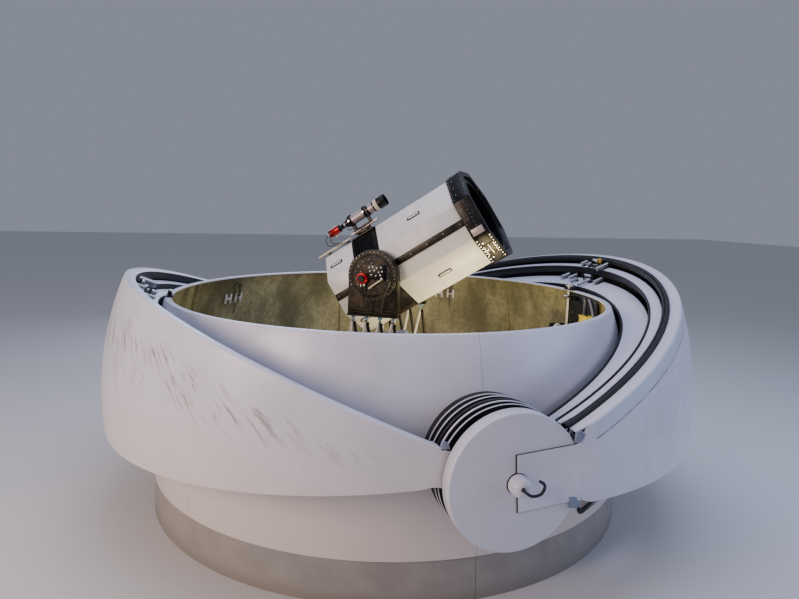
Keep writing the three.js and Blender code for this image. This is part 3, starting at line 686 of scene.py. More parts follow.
lightPlan = {   # soft boxes: place, aim, size in metres, watts, colour
    "overhead": ((0.5, -1.0, 9.5), (0, 0, 1), 9.0, 500, "#d5dcff"),
    "left key": ((-8.5, -4.6, 4.2), (-1, 0, 1.2), 4.0, 520, "#ffdfcb"),
    "right fill": ((9.0, -6.5, 4.5), (0.5, 0, 1.2), 6.0, 280, "#c6d4ff"),
    "back rim": ((1.0, 9.5, 5.5), (0, 0, 1.5), 6.0, 260, "#dbe4ff"),
    "inside lamp": ((1.2, -1.5, 1.2), (0.2, 0.4, 2.4), 1.0, 60, "#ffe7ae"),
}
studio = {"sky": "#c8cfe2", "strength": 0.42, "floor": "#d4d4d6", "reach": 60}


def setLights():
    for name, (spot, aim, size, watts, tint) in lightPlan.items():
        data = bpy.data.lights.new(name, "AREA")
        data.shape = "DISK"
        data.size = size
        data.energy = watts
        data.color = linearColor(tint)[:3]
        aimed = (Vector(aim) - Vector(spot)).to_track_quat("-Z", "Y").to_matrix().to_4x4()
        newObject(name, data).matrix_world = move(*spot) @ aimed
    world = bpy.data.worlds.new("studio")
    world.use_nodes = True
    sky = world.node_tree.nodes["Background"]
    sky.inputs["Color"].default_value = linearColor(studio["sky"])
    sky.inputs["Strength"].default_value = studio["strength"]
    bpy.context.scene.world = world


def layFloor():
    reach = studio["reach"]
    corners = [(-reach, -reach, 0), (reach, -reach, 0), (reach, reach, 0), (-reach, reach, 0)]
    mesh = bpy.data.meshes.new("floor")
    mesh.from_pydata(corners, [], [(0, 1, 2, 3)])
    material, tree, shader = newMaterial("studio floor", 0.9)
    feed(tree, shader, {"Base Color": linearColor(studio["floor"])})
    mesh.materials.append(material)
    floor = newObject("floor", mesh)


setCamera()
setLights()
layFloor()
print("camera, lights and floor set")


# Curb ring and round wall

wallLook = {
    "panels": 6, "arc": 2500, "step": 0.75,    # arc: radius of the swept path; step in degrees
    "joint": 1.5, "lipRound": 9, "nose": 6, "lipThick": 18, "foot": (50, 15),
    "rib": 50, "ribDegrees": 0.25, "bolt": (9, 7), "boltHeights": range(520, 2150, 190),
}
hatchLook = {"azimuth": -58.2, "width": 600, "height": 520, "middle": 765, "corner": 60}
gasketProfile = [   # (outwards from the edge of the hatch, proud of the wall)
    (-6, -16), (-6, 6), (-2, 12), (6, 14), (13, 12), (17, 8), (21, 12), (28, 13.5), (33, 10), (34, 4),
    (34, 0.4), (-0.6, 0.4), (-0.6, -16),
]
curbLook = {
    "footRadius": 2595, "topRadius": 2574, "inner": 2395, "edge": 8, "joint": 2.0, "quarters": 4,
    "rows": 8, "step": 0.9,
}


def wallCurve(offset, steps=22):
    # (radius, height) from the foot to the rim; offset is outwards
    s = sizes
    rimAngle = math.asin((s["rim"] - s["hub"]) / s["zone"])
    curve = [(
        s["wallFoot"] + offset + (s["zone"] - s["wallFoot"]) * t, s["curb"] + (s["hub"] - s["curb"]) * t,
    ) for t in (0, 0.25, 0.5, 0.75)]
    for i in range(steps + 1):
        angle = rimAngle * i / steps
        curve.append(((s["zone"] + offset) * math.cos(angle), s["hub"] + s["zone"] * math.sin(angle)))
    return curve


def wallRadius(height, offset=0.0):
    s = sizes
    if height < s["hub"]:
        share = (height - s["curb"]) / (s["hub"] - s["curb"])
        return s["wallFoot"] + (s["zone"] - s["wallFoot"]) * share + offset
    return math.sqrt(s["zone"] ** 2 - (height - s["hub"]) ** 2) + offset


def turnedPanel(name, profile, start, sweep, step, outside, inside):
    # profile holds (radius, height, inside or not) and closes on itself
    mesh = bpy.data.meshes.new(name)
    count = len(profile)
    radius = wallLook["arc"]
    mesh.from_pydata(
        [((r - radius) * mm, -z * mm, 0) for r, z, _ in profile],
        [(i, (i + 1) % count) for i in range(count)], [])
    field = mesh.attributes.new("inside", "FLOAT", "POINT")
    field.data.foreach_set("value", [float(mark) for _, _, mark in profile])
    return grown(name, "panels", mesh, {
        "Radius": radius * mm, "Start": degrees(start), "Sweep": degrees(sweep),
        "Steps": int(sweep / step) + 1, "Outside": materials[outside], "Inside": materials[inside],
    })


def wallProfile():
    look = wallLook
    thick = sizes["wallThick"]
    curb = sizes["curb"]
    skin = wallCurve(0)
    rimRadius, rimTop = skin[-1]
    turn = look["lipRound"]
    tip = look["nose"]
    lipInner = rimRadius - thick - sizes["lip"]
    lipUnder = rimTop - look["lipThick"]
    top = arcPoints((rimRadius - turn, rimTop - turn), turn, 20, 90, 5)
    nose = arcPoints((lipInner + tip, rimTop - tip), tip, 90, 180, 4)
    outer = skin[:-1] + top + nose + [(lipInner, lipUnder), (lipInner + tip, lipUnder)]
    under = [(rimRadius - thick - 4, lipUnder + 3)]
    inner = list(reversed(wallCurve(-thick)))[1:-1]
    foot = sizes["wallFoot"] - thick
    wide, tall = look["foot"]
    back = under + inner + [(foot, curb + tall), (foot - wide, curb + tall), (foot - wide, curb)]
    return [(r, z, False) for r, z in outer] + [(r, z, True) for r, z in back]


def hatchOutline(grow, steps=6):
    width, height, corner = (hatchLook[key] for key in ("width", "height", "corner"))
    return roundedRectangle(width / 2 + grow, height / 2 + grow, corner + grow, steps)


def hatchPoint(across, up, depth):
    # a point on the wall beside the opening; depth is outwards from the wall's skin
    height = hatchLook["middle"] + up
    radius = wallRadius(height, depth)
    azimuth = degrees(hatchLook["azimuth"]) + across / sizes["zone"]
    return radius * math.cos(azimuth), radius * math.sin(azimuth), height


def cutHatch(skin):
    outline = hatchOutline(0, 10)
    hole = Shape()
    hole.loops([[hatchPoint(*spot, depth) for spot in outline] for depth in (-150, 150)], "wallSkin")
    cutter = hole.build("hatch cutter")
    cut = skin.modifiers.new("hatch", "BOOLEAN")
    cut.operation = "DIFFERENCE"
    cut.solver = "EXACT"
    cut.object = cutter
    applyModifiers(skin)
    shadeByAngle(skin.data)
    bpy.data.objects.remove(cutter)


def makeWall():
    look = wallLook
    panel = 360 / look["panels"]
    trim = math.degrees(look["joint"] / sizes["zone"])
    for i in range(look["panels"]):
        skin = turnedPanel(
            f"wall_skin_{i + 1}", wallProfile(), -90 + i * panel + trim, panel - 2 * trim,
            look["step"], "wallSkin", "laminate")
        if i == 0:
            cutHatch(skin)
        place(skin, "dome_base", "wall_gelcoat", f"wall_panel_{i + 1}")

    # joint flanges behind every seam, bolted together, and the sealant in the seam
    ribs = Shape()
    beads = Shape()
    bolts = []
    inner, outer, skinLine = (wallCurve(offset, 12) for offset in (
        -sizes["wallThick"] - look["rib"], -sizes["wallThick"] + 3, 0))
    band = [(r, z - 1) for r, z in inner + list(reversed(outer))]
    seam = [(r - 3, z - 1) for r, z in skinLine] + [(r - 9, z - 1) for r, z in reversed(skinLine)]
    wide = look["ribDegrees"]
    for i in range(look["panels"]):
        azimuth = -90 + i * panel
        beads.ringTurned(seam, "sealant", start=azimuth - trim * 1.1, sweep=trim * 2.2, steps=1)
        for side, start in ((-1, azimuth - 0.03 - wide), (1, azimuth + 0.03)):
            ribs.ringTurned(band, "laminate", start=start, sweep=wide, steps=1)
            local = spin(azimuth) @ spin(-90 * side, "X")
            bolts += [outOf(local, wallRadius(z, -40), -side * z, 15) for z in look["boltHeights"]]
    ribs.fit("wall_joint_ribs", "dome_base", "wall_gelcoat", bevel=1.2)
    beads.fit("wall_joint_sealant", "dome_base", "seal_rubber")
    screws("wall_joint_bolts", bolts, *look["bolt"], "dome_base", "steel", 6)


def makeHatch():
    outlines = [hatchOutline(grow, 8) for grow, _ in gasketProfile]
    rings = [[
        hatchPoint(*outline[i], proud) for outline, (_, proud) in zip(outlines, gasketProfile)
    ] for i in range(len(outlines[0]))]
    gasket = Shape()
    gasket.loops(rings, "rubber", closed=True)
    gasket.fit("hatch_gasket", "dome_base", "seal_rubber", "access_gasket", sharp=50)


def makeCurb():
    look = curbLook
    top = sizes["curb"] - 0.4
    edge = look["edge"]
    rows = look["rows"]
    face = [(
        look["footRadius"] + (look["topRadius"] - look["footRadius"]) * i / rows, top * i / rows,
    ) for i in range(rows)]
    corner = arcPoints((look["topRadius"] - edge, top - edge), edge, 0, 90, 5)
    profile = [(r, z, False) for r, z in [(look["inner"], 0)] + face + corner + [(look["inner"], top)]]
    trim = math.degrees(look["joint"] / look["topRadius"])
    mortar = [(r - 5, z) for r, z, _ in profile]
    joints = Shape()
    for i in range(look["quarters"]):
        start = i * 360 / look["quarters"]
        quarter = turnedPanel(
            f"curb_ring_{i + 1}", profile, start + trim, 360 / look["quarters"] - 2 * trim,
            look["step"], "concrete", "concrete")
        place(quarter, "dome_base", "concrete", f"curb_quarter_{i + 1}")
        joints.ringTurned(mortar, "sealant", start=start - trim, sweep=2 * trim, steps=1)
    joints.fit("curb_joint_mortar", "dome_base", "concrete")


makeWall()
makeHatch()
makeCurb()
print("wall and curb made")


# Shutters: nested shells, each with flat arms at its hubs and a flange on its leading edge.
# Edges are (degrees above the level, mm above the axis); arms add their half widths.

shutters = {   # rim: the bare edge of the hub disc, back from its face
    "left_inner": {
        "side": -1, "radius": 2810, "flange": 2660, "face": 2769, "lead": (21, -60), "trail": (-8, 0),
        "arm": (6, 150, 150), "disc": 520, "rim": (19, 4), "stepped": False},
    "right_inner": {
        "side": 1, "radius": 2935, "flange": 2676, "face": 2834, "lead": (20.5, 40), "trail": (-8, 0),
        "arm": (6, 150, 150), "disc": 520, "rim": None, "stepped": True},
    "left_middle": {
        "side": -1, "radius": 2930, "flange": 2828, "face": 2902, "lead": (21.5, -20), "trail": (-7, 0),
        "arm": (6, 150, 150), "disc": 520, "rim": (33, 12), "stepped": False},
    "right_middle": {
        "side": 1, "radius": 3080, "flange": 2972, "face": 2970, "lead": (20.84, 155), "trail": (-7, -40),
        "arm": (7, 170, 150), "disc": 520, "rim": (14, 1), "stepped": True},
    "left_outer": {
        "side": -1, "radius": 3055, "flange": 2945, "face": 3015, "lead": (22.75, 23), "trail": (-6.04, 9),
        "arm": (8.35, 150, 122), "disc": 440, "rim": None, "stepped": False},
    "right_outer": {
        "side": 1, "radius": 3261, "flange": 3160, "face": 3190, "lead": (22, 160), "trail": (-2.5, -178),
        "arm": (4.5, 215, 215), "disc": 0, "rim": None, "stepped": False},
}
seals = {   # inner radius, outer radius, lowest and highest offset from the leading plane
    "right_inner": (2654, 2676, -30, 12),
    "right_middle": (2952, 2972, -30, 12),
    "right_outer": (3095, 3160, -30, 30),
}
shellLook = {
    "across": 26,            # faces from the trailing to the leading edge
    "armTurns": (78, 66, 55, 46, 38, 32, 27, 24),    # degrees, rows over the arm's round end
    "armEnd": 420,
    "rows": (430, 460, 480, 500, 520, 536, 544, 552, 560, 568, 584, 600, 620, 640, 660, 680, 700),
    "ballFrom": 720,         # from here out to the equator, this many rows
    "ballRows": 44,
    "step": (536, 568),      # where a stepped arm rises to the shell
    "armBlend": (520, 660),  # where the arm widens into the shell
    "crease": (500, 34, 5),  # joggle of the outermost arm: distance, half width, height
    "creaseEnd": 1100,
    "flangeDrop": 14,        # the moulded turn from shell to flange
    "flangeNose": 8,
    "flangeIn": [(0, -90), (11, -90), (11, -18), (18, -12)],              # skirt, from the flange's edge
    "flangeOut": [(-26, -12), (-14, -22), (-12, -34), (-5, -34)],    # and back up to the shell
    "disc": 34,
}


def edgeAngle(edge, distance, drop=0.0):
    return edge[0] + math.degrees(math.asin(max(-1, min(1, (edge[1] - drop) / distance))))


def armAngles(shutter, r):
    angle, above, below = shutter["arm"]
    high = 90 if r <= above else math.degrees(math.asin(above / r))
    low = 90 if r <= below else math.degrees(math.asin(below / r))
    return angle - low, angle + high


def shellAngles(shutter, r):
    # the shutter's lowest and highest angle at distance r from the axis
    armLow, armHigh = armAngles(shutter, r)
    start, end = shellLook["armBlend"]
    if r <= start:
        return armLow, armHigh
    low = edgeAngle(shutter["trail"], r)
    high = edgeAngle(shutter["lead"], r, shellLook["flangeDrop"])
    share = softStep(start, end, r)
    return armLow + (low - armLow) * share, armHigh + (high - armHigh) * share


def faceDistance(shutter, r, inset):
    # distance of the skin along the axis, at distance r from it
    radius = shutter["radius"] - inset
    face = shutter["face"] - inset
    ball = math.sqrt(max(0, radius * radius - r * r))
    if shutter["stepped"]:
        start, end = shellLook["step"]
        return face + (ball - face) * softStep(start + inset, end + inset, r)
    if r < 0.3 * radius:
        soft = 2.0    # mm over which the flat face rounds into the ball
        return face - soft * math.log1p(math.exp(min(60, (face - ball) / soft)))
    return ball


def shellStations(shutter):
    # distances from the axis over the arm, then angles out to the equator
    look = shellLook
    hole = sizes["spindle"] + 4 if shutter["disc"] else 84
    _, above, below = shutter["arm"]
    arm = {hole, 0.5 * (hole + below), above, below}
    arm |= {above / math.sin(degrees(turn)) for turn in look["armTurns"]}
    arm = {r for r in arm if r < look["armEnd"]} | set(look["rows"])
    last = math.acos(look["ballFrom"] / shutter["radius"])
    steps = look["ballRows"]
    return sorted(arm), [last * (1 - i / steps) for i in range(steps + 1)]


def shellRows(shutter, inset):
    # rows of points across the shell, from the front hub round to the back hub
    look = shellLook
    arm, ball = shellStations(shutter)
    radius = shutter["radius"] - inset
    places = [(r, faceDistance(shutter, r, inset)) for r in arm]
    places += [(radius * math.cos(s), radius * math.sin(s)) for s in ball]
    places = [(r, -y) for r, y in places] + [(r, y) for r, y in reversed(places[:-1])]
    middle, half, height = look["crease"]
    rows = []
    for r, y in places:
        low, high = shellAngles(shutter, r)
        row = []
        for i in range(look["across"] + 1):
            angle = low + (high - low) * i / look["across"]
            lift = 0.0
            if shutter["disc"] == 0 and r < look["creaseEnd"]:
                along = r * math.cos(degrees(angle - shutter["arm"][0]))
                lift = math.copysign(height * math.exp(-((along - middle) / half) ** 2), y)
            turn = degrees(angle)
            row.append((shutter["side"] * r * math.cos(turn), y + lift, sizes["hub"] + r * math.sin(turn)))
        rows.append(row)
    return rows


def leadSpot(shutter, along, offset):
    # from the axis, along the leading plane and then square to it: (outwards, up)
    turn = degrees(shutter["lead"][0])
    return (along * math.cos(turn) - offset * math.sin(turn),
            along * math.sin(turn) + offset * math.cos(turn))


def edgeSpot(shutter, rho, offset, share):
    # a point on the leading flange: rho from the dome's centre, offset above the leading
    # plane, share of the way from the equator (0) to the front or back end (-1, 1)
    reach = math.acos(sizes["flangeStart"] / rho)
    r = rho * math.cos(share * reach)
    y = rho * math.sin(share * reach)
    limit = shutter["face"] - 3
    total = shutter["lead"][1] + offset
    out, up = leadSpot(shutter, math.sqrt(r * r - total * total), total)
    return shutter["side"] * out, max(-limit, min(limit, y)), sizes["hub"] + up


def edgeSweep(shape, shutter, profile, paint):
    # runs a profile of (rho, offset) along the leading edge, at the shell's own stations
    arm, ball = shellStations(shutter)
    radius = shutter["radius"]
    reach = math.acos(sizes["flangeStart"] / radius)
    turns = [math.acos(r / radius) for r in arm if r > sizes["flangeStart"]] + ball
    half = sorted({turn / reach for turn in turns} | {1.0})
    shares = [-share for share in reversed(half[1:])] + half
    rings = [[edgeSpot(shutter, rho, offset, share) for rho, offset in profile] for share in shares]
    shape.loops(rings, paint)


def hubPlace(end):
    # local Z runs outwards along the pivot axis, from the dome's middle
    return move(0, 0, sizes["hub"]) @ spin(-90 * end, "X")


def makeShutter(name, shutter):
    look = shellLook
    skin = name.split("_")[0] + "Shell"
    shell = Shape()
    outer = shellRows(shutter, 0)
    inner = shellRows(shutter, sizes["shell"])
    rings = [a + list(reversed(b)) for a, b in zip(outer, inner)]
    count = look["across"]
    # the inner face gets the near-black flow coat, painted shade for the shadow between the nested shells
    shell.loops(rings, [skin] * (count + 1) + ["flowCoat"] * count + [skin], capped=False)
    thin = [[i, i + 1, 2 * count - i, 2 * count + 1 - i] for i in range(count)]
    for ring in (rings[0], rings[-1]):
        shell.add(ring, thin, skin)

    # one moulding: the shell turns in to a flat flange and down to a skirt
    radius = shutter["radius"]
    flange = shutter["flange"]
    drop = look["flangeDrop"]
    nose = look["flangeNose"]
    front = arcPoints((radius - drop, -drop), drop, 0, 90, 5)
    front += arcPoints((flange + nose, -nose), nose, 90, 180, 4)
    back = [(flange + x, z) for x, z in look["flangeIn"]] + [(radius + x, z) for x, z in look["flangeOut"]]
    # the flange's skirt and underside take the same painted shade
    paint = [skin] * (len(front) - 1) + ["flowCoat"] * len(back) + [skin]
    edgeSweep(shell, shutter, front + back, paint)

    # discs that turn between the hub spacers: black, as painted shade for the dark gaps between the discs,
    # with a bare moulded rim
    wide = shutter["disc"]
    if wide:
        face = shutter["face"]
        hole = sizes["spindle"] + 3
        low, high = face - look["disc"], face + 0.4
        disc = [(hole, low), (wide - 4, low), (wide - 4, high), (hole, high)]
        for end in (-1, 1):
            shell.ringTurned(disc, "spacer", hubPlace(end), steps=96)
            if shutter["rim"]:
                low, high = (face - depth for depth in shutter["rim"])
                edge = [(wide - 6, low), (wide - 1, low), (wide, low + 2), (wide, high - 2),
                        (wide - 1, high), (wide - 6, high)]
                shell.ringTurned(edge, skin, hubPlace(end), steps=96)
    shell.fit(f"shell_{name}", name, "shutter_gelcoat", f"shutter_{name}", sharp=40)


def makeSeal(name, shutter):
    low, high, below, above = seals[name]
    wide = high - low
    if wide > 40:
        # broad weather seal: two bulbs with a groove between, on a base let into the flange
        bulb = wide / 4
        crown = above - bulb
        first = arcPoints((high - bulb, crown), bulb - 1, 0, 150, 7)
        second = arcPoints((low + bulb, crown - 6), bulb - 1, 30, 180, 7)
        profile = [(high - 1, below)] + first + [(low + 2 * bulb, crown - 14)] + second + [(low + 1, below)]
    else:
        lip = arcPoints((high - wide / 2, above - wide / 2), wide / 2 - 0.6, 0, 180, 8)
        profile = [(high - 0.6, below)] + lip + [
            (low + 0.6, -4), (low + 8, -8), (low + 0.6, -14), (low + 0.6, below)]
    seal = Shape()
    edgeSweep(seal, shutter, profile, "rubber")
    seal.fit(f"weather_seal_{name}", name, "seal_rubber", f"seal_{name}", sharp=50)


stripLook = {"top": -10, "width": 122, "lift": 2.5, "edge": 7, "root": 5}


def makeBondingStrip():
    # lighter strip bonded along the leading edge of the outermost shutter, with a dark ragged line along its
    # lower edge
    look = stripLook
    shutter = shutters["right_outer"]
    radius = shutter["radius"]
    root = radius - look["root"]
    low = look["top"] - look["width"]
    strip = Shape()
    edgeSweep(strip, shutter, [
        (radius + look["lift"], -14), (radius + look["lift"], low + 2), (radius + 0.4, low),
        (root, low), (root, -16), (radius + 0.4, -13)], "strip")
    edgeSweep(strip, shutter, [
        (radius + 1.2, low + 1), (radius + 1.2, low - look["edge"]), (root, low - look["edge"]),
        (root, low + 1)], "dirtyEdge")
    strip.fit("bonding_strip", "right_outer", "shutter_gelcoat", sharp=50)


for shutterName, shutter in shutters.items():
    makeShutter(shutterName, shutter)
    if shutterName in seals:
        makeSeal(shutterName, shutter)
makeBondingStrip()
print("shutters and seals made")


# Hubs: boss on the wall, stack of spacers, pans, caps and the bent hook

hubLook = {
    "boss": 505, "bossRows": (5, 120, 240, 360, 450, 500), "bossLip": 17,
    "spacer": 490, "slim": 380, "gap": 4.8,     # gap: the air on each side of a disc
    "pan": 520, "panWall": 12, "cap": 78,
    "knob": [(68, 3172), (75, 3182), (78, 3196), (78, 3225), (74, 3252), (64, 3275), (48, 3290), (24, 3300)],
    "shadowStrip": 7,               # width of the black strip of painted shadow at the arm's inner end, on the pan
    "sealantReach": 462,
}


def makeBoss(name, end):
    # round boss on the wall, its root following the wall's skin; its body is black as painted shade for the
    # dark bands at the hub, and only its lip is white gelcoat
    look = hubLook
    radius = look["boss"]
    sides = 96
    circle = [(math.cos(math.tau * i / sides), math.sin(math.tau * i / sides)) for i in range(sides)]
    rings = [[(
        r * c, r * s, math.sqrt(wallRadius(sizes["hub"] - end * r * s) ** 2 - (r * c) ** 2) - 8,
    ) for c, s in circle] for r in look["bossRows"]]
    face = sizes["bossFace"]
    low = face - look["bossLip"]
    rings += [[((radius - 5) * c, (radius - 5) * s, z) for c, s in circle] for z in (low, face)]
    boss = Shape(hubPlace(end))
    boss.loops(rings, "spacer")
    lip = [(radius - 7, low), (radius - 1, low), (radius, low + 2), (radius, face - 2), (radius - 7, face)]
    boss.ringTurned(lip, "hubSkin", steps=96)
    boss.fit(f"boss_{name}", "dome_base", "wall_gelcoat", f"hub_boss_{name}", sharp=50)


def makeStack(name, end):
    look = hubLook
    gap = look["gap"]
    pin = sizes["spindle"]
    wide = look["spacer"]
    profile = [(wide, sizes["bossFace"] + 0.5)]
    for shutter in shutters.values():
        if shutter["disc"]:
            stop = shutter["face"] - shellLook["disc"] - gap
            wide = look["slim"] if shutter["disc"] < look["pan"] else look["spacer"]
            onward = shutter["face"] + gap
            profile += [(wide, stop), (pin, stop), (pin, onward), (wide, onward)]
    neck = look["cap"] - 1
    root = look["knob"][0][1]
    back = sizes["panBack"] - gap
    profile += [(wide, back), (neck, back), (neck, root), (neck - 9, root + 1)]
    stack = Shape(hubPlace(end))
    # black spacers between the discs: black paint, and also painted shade for the dark gaps between the discs
    stack.turned(profile, "spacer", sides=96)
    stack.turned(look["knob"], "hubSkin", sides=48)
    stack.fit(f"hub_stack_{name}", "dome_base", "black_paint", f"pivot_spindle_{name}", sharp=40)


def makePan(name, end):
    # pan under the outermost arm: a flat disc with a deep rim
    look = hubLook
    shutter = shutters["right_outer"]
    outer = shutter["face"] - 12.6
    rim = look["pan"]
    wall = look["panWall"]
    back = sizes["panBack"]
    hole = look["cap"] + 5
    section = [(hole, outer - wall), (rim - wall - 8, outer - wall), (rim - wall, outer - wall - 8),
               (rim - wall, back + 3), (rim - wall + 3, back), (rim - 3, back), (rim, back + 3)]
    section += arcPoints((rim - 5, outer - 5), 5, 0, 90, 4) + [(hole, outer)]
    pan = Shape(hubPlace(end))
    pan.ringTurned(section, "hubSkin", steps=120)
    pan.fit(f"pan_{name}", "right_outer", "shutter_gelcoat", f"hub_pan_{name}", sharp=50)

    # a black strip of painted shadow at the arm's inner end where it lies on the pan, and sealant lines along
    # the arm's upper and lower edges
    angle, half, _ = shutter["arm"]
    near, far = end * (outer + 0.2), end * (outer + 9)
    seam = Shape(move(0, 0, sizes["hub"]) @ spin(-angle, "Y"))
    for side in (-1, 1):
        seam.box((-look["shadowStrip"], near, side * hole), (1, far, side * (half + 4)), "spacer")
        seam.box((0, near, side * (half - 1)), (look["sealantReach"], far, side * (half + 4)), "sealant")
    seam.fit(f"arm_shadow_and_sealant_{name}", "right_outer", "seal_rubber")


flangeFittings = {   # plates at the ends of the flanges: outlines in (outwards, up from the hub)
    "right_outer": [
        [(446, 268), (500, 262), (530, 318), (505, 352), (452, 350)],
        [(427, -143), (430, -229), (500, -238), (528, -230), (533, -156)],
    ],
    "left_outer": [[(452, 236), (520, 244), (520, 300), (470, 288)]],
}


def makeFlangeFittings(shutterName, outlines):
    # grey brackets that tie the flange's ends to the arm, front and back, bolted at their corners
    side = shutters[shutterName]["side"]
    face = shutters[shutterName]["face"]
    plates = Shape()
    spots = []
    for end, outline in [(end, outline) for end in (-1, 1) for outline in outlines]:
        standing = hubPlace(end)
        line = [Vector((side * x, -end * z)) for x, z in outline]
        plates.plate([tuple(corner) for corner in line], face - 13, face + 3.5, "fitting", standing)
        middle = sum(line, Vector((0, 0))) / len(line)
        for corner in line:
            spots.append(outOf(standing, *(corner + (middle - corner).normalized() * 13), face + 5.5))
    plates.fit(f"flange_plates_{shutterName}", shutterName, "bare_steel", bevel=1.5)
    screws(f"flange_bolts_{shutterName}", spots, 7, 5, shutterName, "steel", 6)


hookLook = {
    "rod": 10.5,
    "path": [   # (across, out from the cap's face, up from the hub)
        (-24, 0.5, 14), (-14, 38, 4), (10, 56, -11), (41, 60, -15), (74, 60, -11), (97, 60, 3),
        (116, 56, 37), (110, 52, 63), (80, 50, 83)],
    "collar": [(-20, 0.4, 12), (-17, 14, 9)],
    "tip": [(80, 50, 83), (74, 50, 89)],
}


def makeHook():
    path, collar, tip = ([(x, -sizes["capFace"] - out, sizes["hub"] + up) for x, out, up in hookLook[part]]
                         for part in ("path", "collar", "tip"))
    hook = cables("hook_rod", [path], hookLook["rod"], "dome_base", "rubber", sides=14)
    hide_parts("pivot_hook_front")
    ends = Shape()
    ends.rod(*collar, 17, "rubber", sides=24, tip=14)
    ends.rod(*tip, hookLook["rod"], "rubber", sides=16, tip=6)
    ends.fit("hook_collar", "dome_base", "seal_rubber")


for endName, end in (("front", -1), ("back", 1)):
    makeBoss(endName, end)
    makeStack(endName, end)
    makePan(endName, end)
for shutterName, outlines in flangeFittings.items():
    makeFlangeFittings(shutterName, outlines)
makeHook()
print("hubs made")


# Telescope, in the frame of its tube: X along the tube, Z square to it

scope = {"azimuth": -35, "altitude": 32.4, "height": 2450}
mountPlace = spin(scope["azimuth"])
tubePlace = mountPlace @ move(0, 0, scope["height"]) @ spin(-scope["altitude"], "Y")
tubeLook = {
    "width": 980, "edge": 7, "ringWidth": 1020, "ring": (1100, 1290),
    "rails": (-170, 141), "railWide": 24, "trunnion": (478, 600, 88),
}
tubeSections = {   # start, end, width, wall, paint, slot, node, softened edge
    "tube_shell_front": (165.4, 1100, 980, 12, "tubeWhite", "tube_white", "tube_front", 1.5),
    "tube_section_centre": (-170, 165, 980, 30, "anodised", "anodised", "tube_centre", 1.5),
    "tube_shell_rear": (-540, -170.4, 980, 12, "tubeWhite", "tube_white", "tube_rear", 1.5),
    "front_ring": (1100.4, 1290, 1020, 55, "darkAnodised", "anodised", "tube_front_ring", 3),
}


def octagon(width):
    # flat faces to the sides, top and bottom, with narrow faces at the corners
    half = width / 2
    reach = half * math.tan(math.pi / 8) - tubeLook["edge"]
    out = []
    for i in range(8):
        c, s = math.cos(i * math.pi / 4), math.sin(i * math.pi / 4)
        out += [(half * c - a * s, half * s + a * c) for a in (-reach, reach)]
    return out


def octagonRings(*places):
    return [[(x, y, z) for y, z in octagon(width)] for x, width in places]


def octagonShell(shape, start, end, width, wall, paint, closedRear):
    # painted outside and black inside; the rear of the tube is closed
    bore = width - 2 * wall
    rings = octagonRings(
        (start, width), (end, width), (end, bore), (start + wall if closedRear else start, bore))
    shape.loops(rings[:3], paint, capped=False)
    shape.loops(rings[2:], "darkAnodised", capped=False)
    if closedRear:
        for ring, skin in ((rings[0], paint), (rings[3], "darkAnodised")):
            shape.add(ring, [list(range(len(ring)))], skin)
    else:
        shape.loops([rings[3], rings[0]], paint, capped=False)


def facePlace(index, along, width=tubeLook["width"]):
    # frame on one of the tube's eight sides: local Z outwards, local X along the tube;
    # 0 is the far side, 2 the top, 3 the upper near one, 4 the near side, 5 the lower near one
    return move(along, 0, 0) @ spin(45 * index, "X") @ move(0, width / 2, 0) @ spin(-90, "X")


def makeTube():
    look = tubeLook
    for name, (start, end, width, wall, paint, slotName, node, soft) in tubeSections.items():
        section = Shape(tubePlace)
        octagonShell(section, start, end, width, wall, paint, node == "tube_rear")
        if node == "tube_centre":
            inside, outside, radius = look["trunnion"]
            for side in (-1, 1):
                pin = ((0, side * inside, 0), (0, side * outside, 0))
                section.rod(*pin, radius, "darkAnodised", sides=48)
            for low in look["rails"]:
                high = low + look["railWide"]
                section.loops(octagonRings(
                    (low, width + 3), (high, width + 3), (high, width - 40), (low, width - 40),
                ), "darkAnodised", closed=True)
        section.fit(name, "telescope_tube", slotName, node, bevel=soft)


trimLook = {
    "strips": ((210, 1098, 5), (-538, -180, 3)),    # from, to, number of screws
    "stripHalf": 38, "stripTop": 11, "screwInset": 34,
    "forkReach": 560,        # nearer than this, the screws are let in to pass behind the fork
    "slotAlong": (640, -400),
    "fins": range(-125, 126, 25), "finSize": (5, 300, 22),
}


def makeTubeTrim():
    look = trimLook
    wide, top = look["stripHalf"], look["stripTop"]
    strips = Shape(tubePlace)
    proud = []
    flush = []
    for face in (4, 0):
        for start, end, count in look["strips"]:
            middle = (start + end) / 2
            local = facePlace(face, middle)
            half = (end - start) / 2
            strips.box((-half, -wide, 0.3), (half, wide, top), "anodised", local)
            reach = half - look["screwInset"]
            for i in range(count):
                x = -reach + 2 * reach * i / (count - 1)
                spots, lift = (proud, 2) if abs(x + middle) > look["forkReach"] else (flush, -1.5)
                spots.append(outOf(local, x, 0, top + lift))
    strips.fit("side_strips", "telescope_tube", "anodised",
               "tube_strip_near", "tube_strip_far", bevel=1.2)
    screws("strip_screws", proud, 10, 7, "telescope_tube", sides=10, matrix=tubePlace)
    screws("strip_flush_screws", flush, 10, 5, "telescope_tube", sides=10, matrix=tubePlace)

    # hand slots: black frames with a white slat, on the sloping sides
    slots = Shape(tubePlace)
    for local in [facePlace(face, along) for along in look["slotAlong"] for face in (1, 3, 5, 7)]:
        slots.plate(roundedRectangle(80, 25, 9), 0.2, 5, "spacer", local)
        slots.plate(roundedRectangle(64, 11, 5), 4.8, 7.5, "tubeWhite", local)
    slots.fit("hand_slots", "telescope_tube", "black_paint", bevel=0.8)

    # cooling fins on three sloping sides of the centre section
    spots = []
    for local in [facePlace(face, -2) for face in (3, 5, 7)]:
        across = local.to_3x3() @ Vector((1, 0, 0))
        spots += [(*outOf(local, x, 0, look["finSize"][2] / 2), across) for x in look["fins"]]
    fins("cooling_fins", spots, look["finSize"], "darkAnodised", "telescope_tube", "anodised", tubePlace)


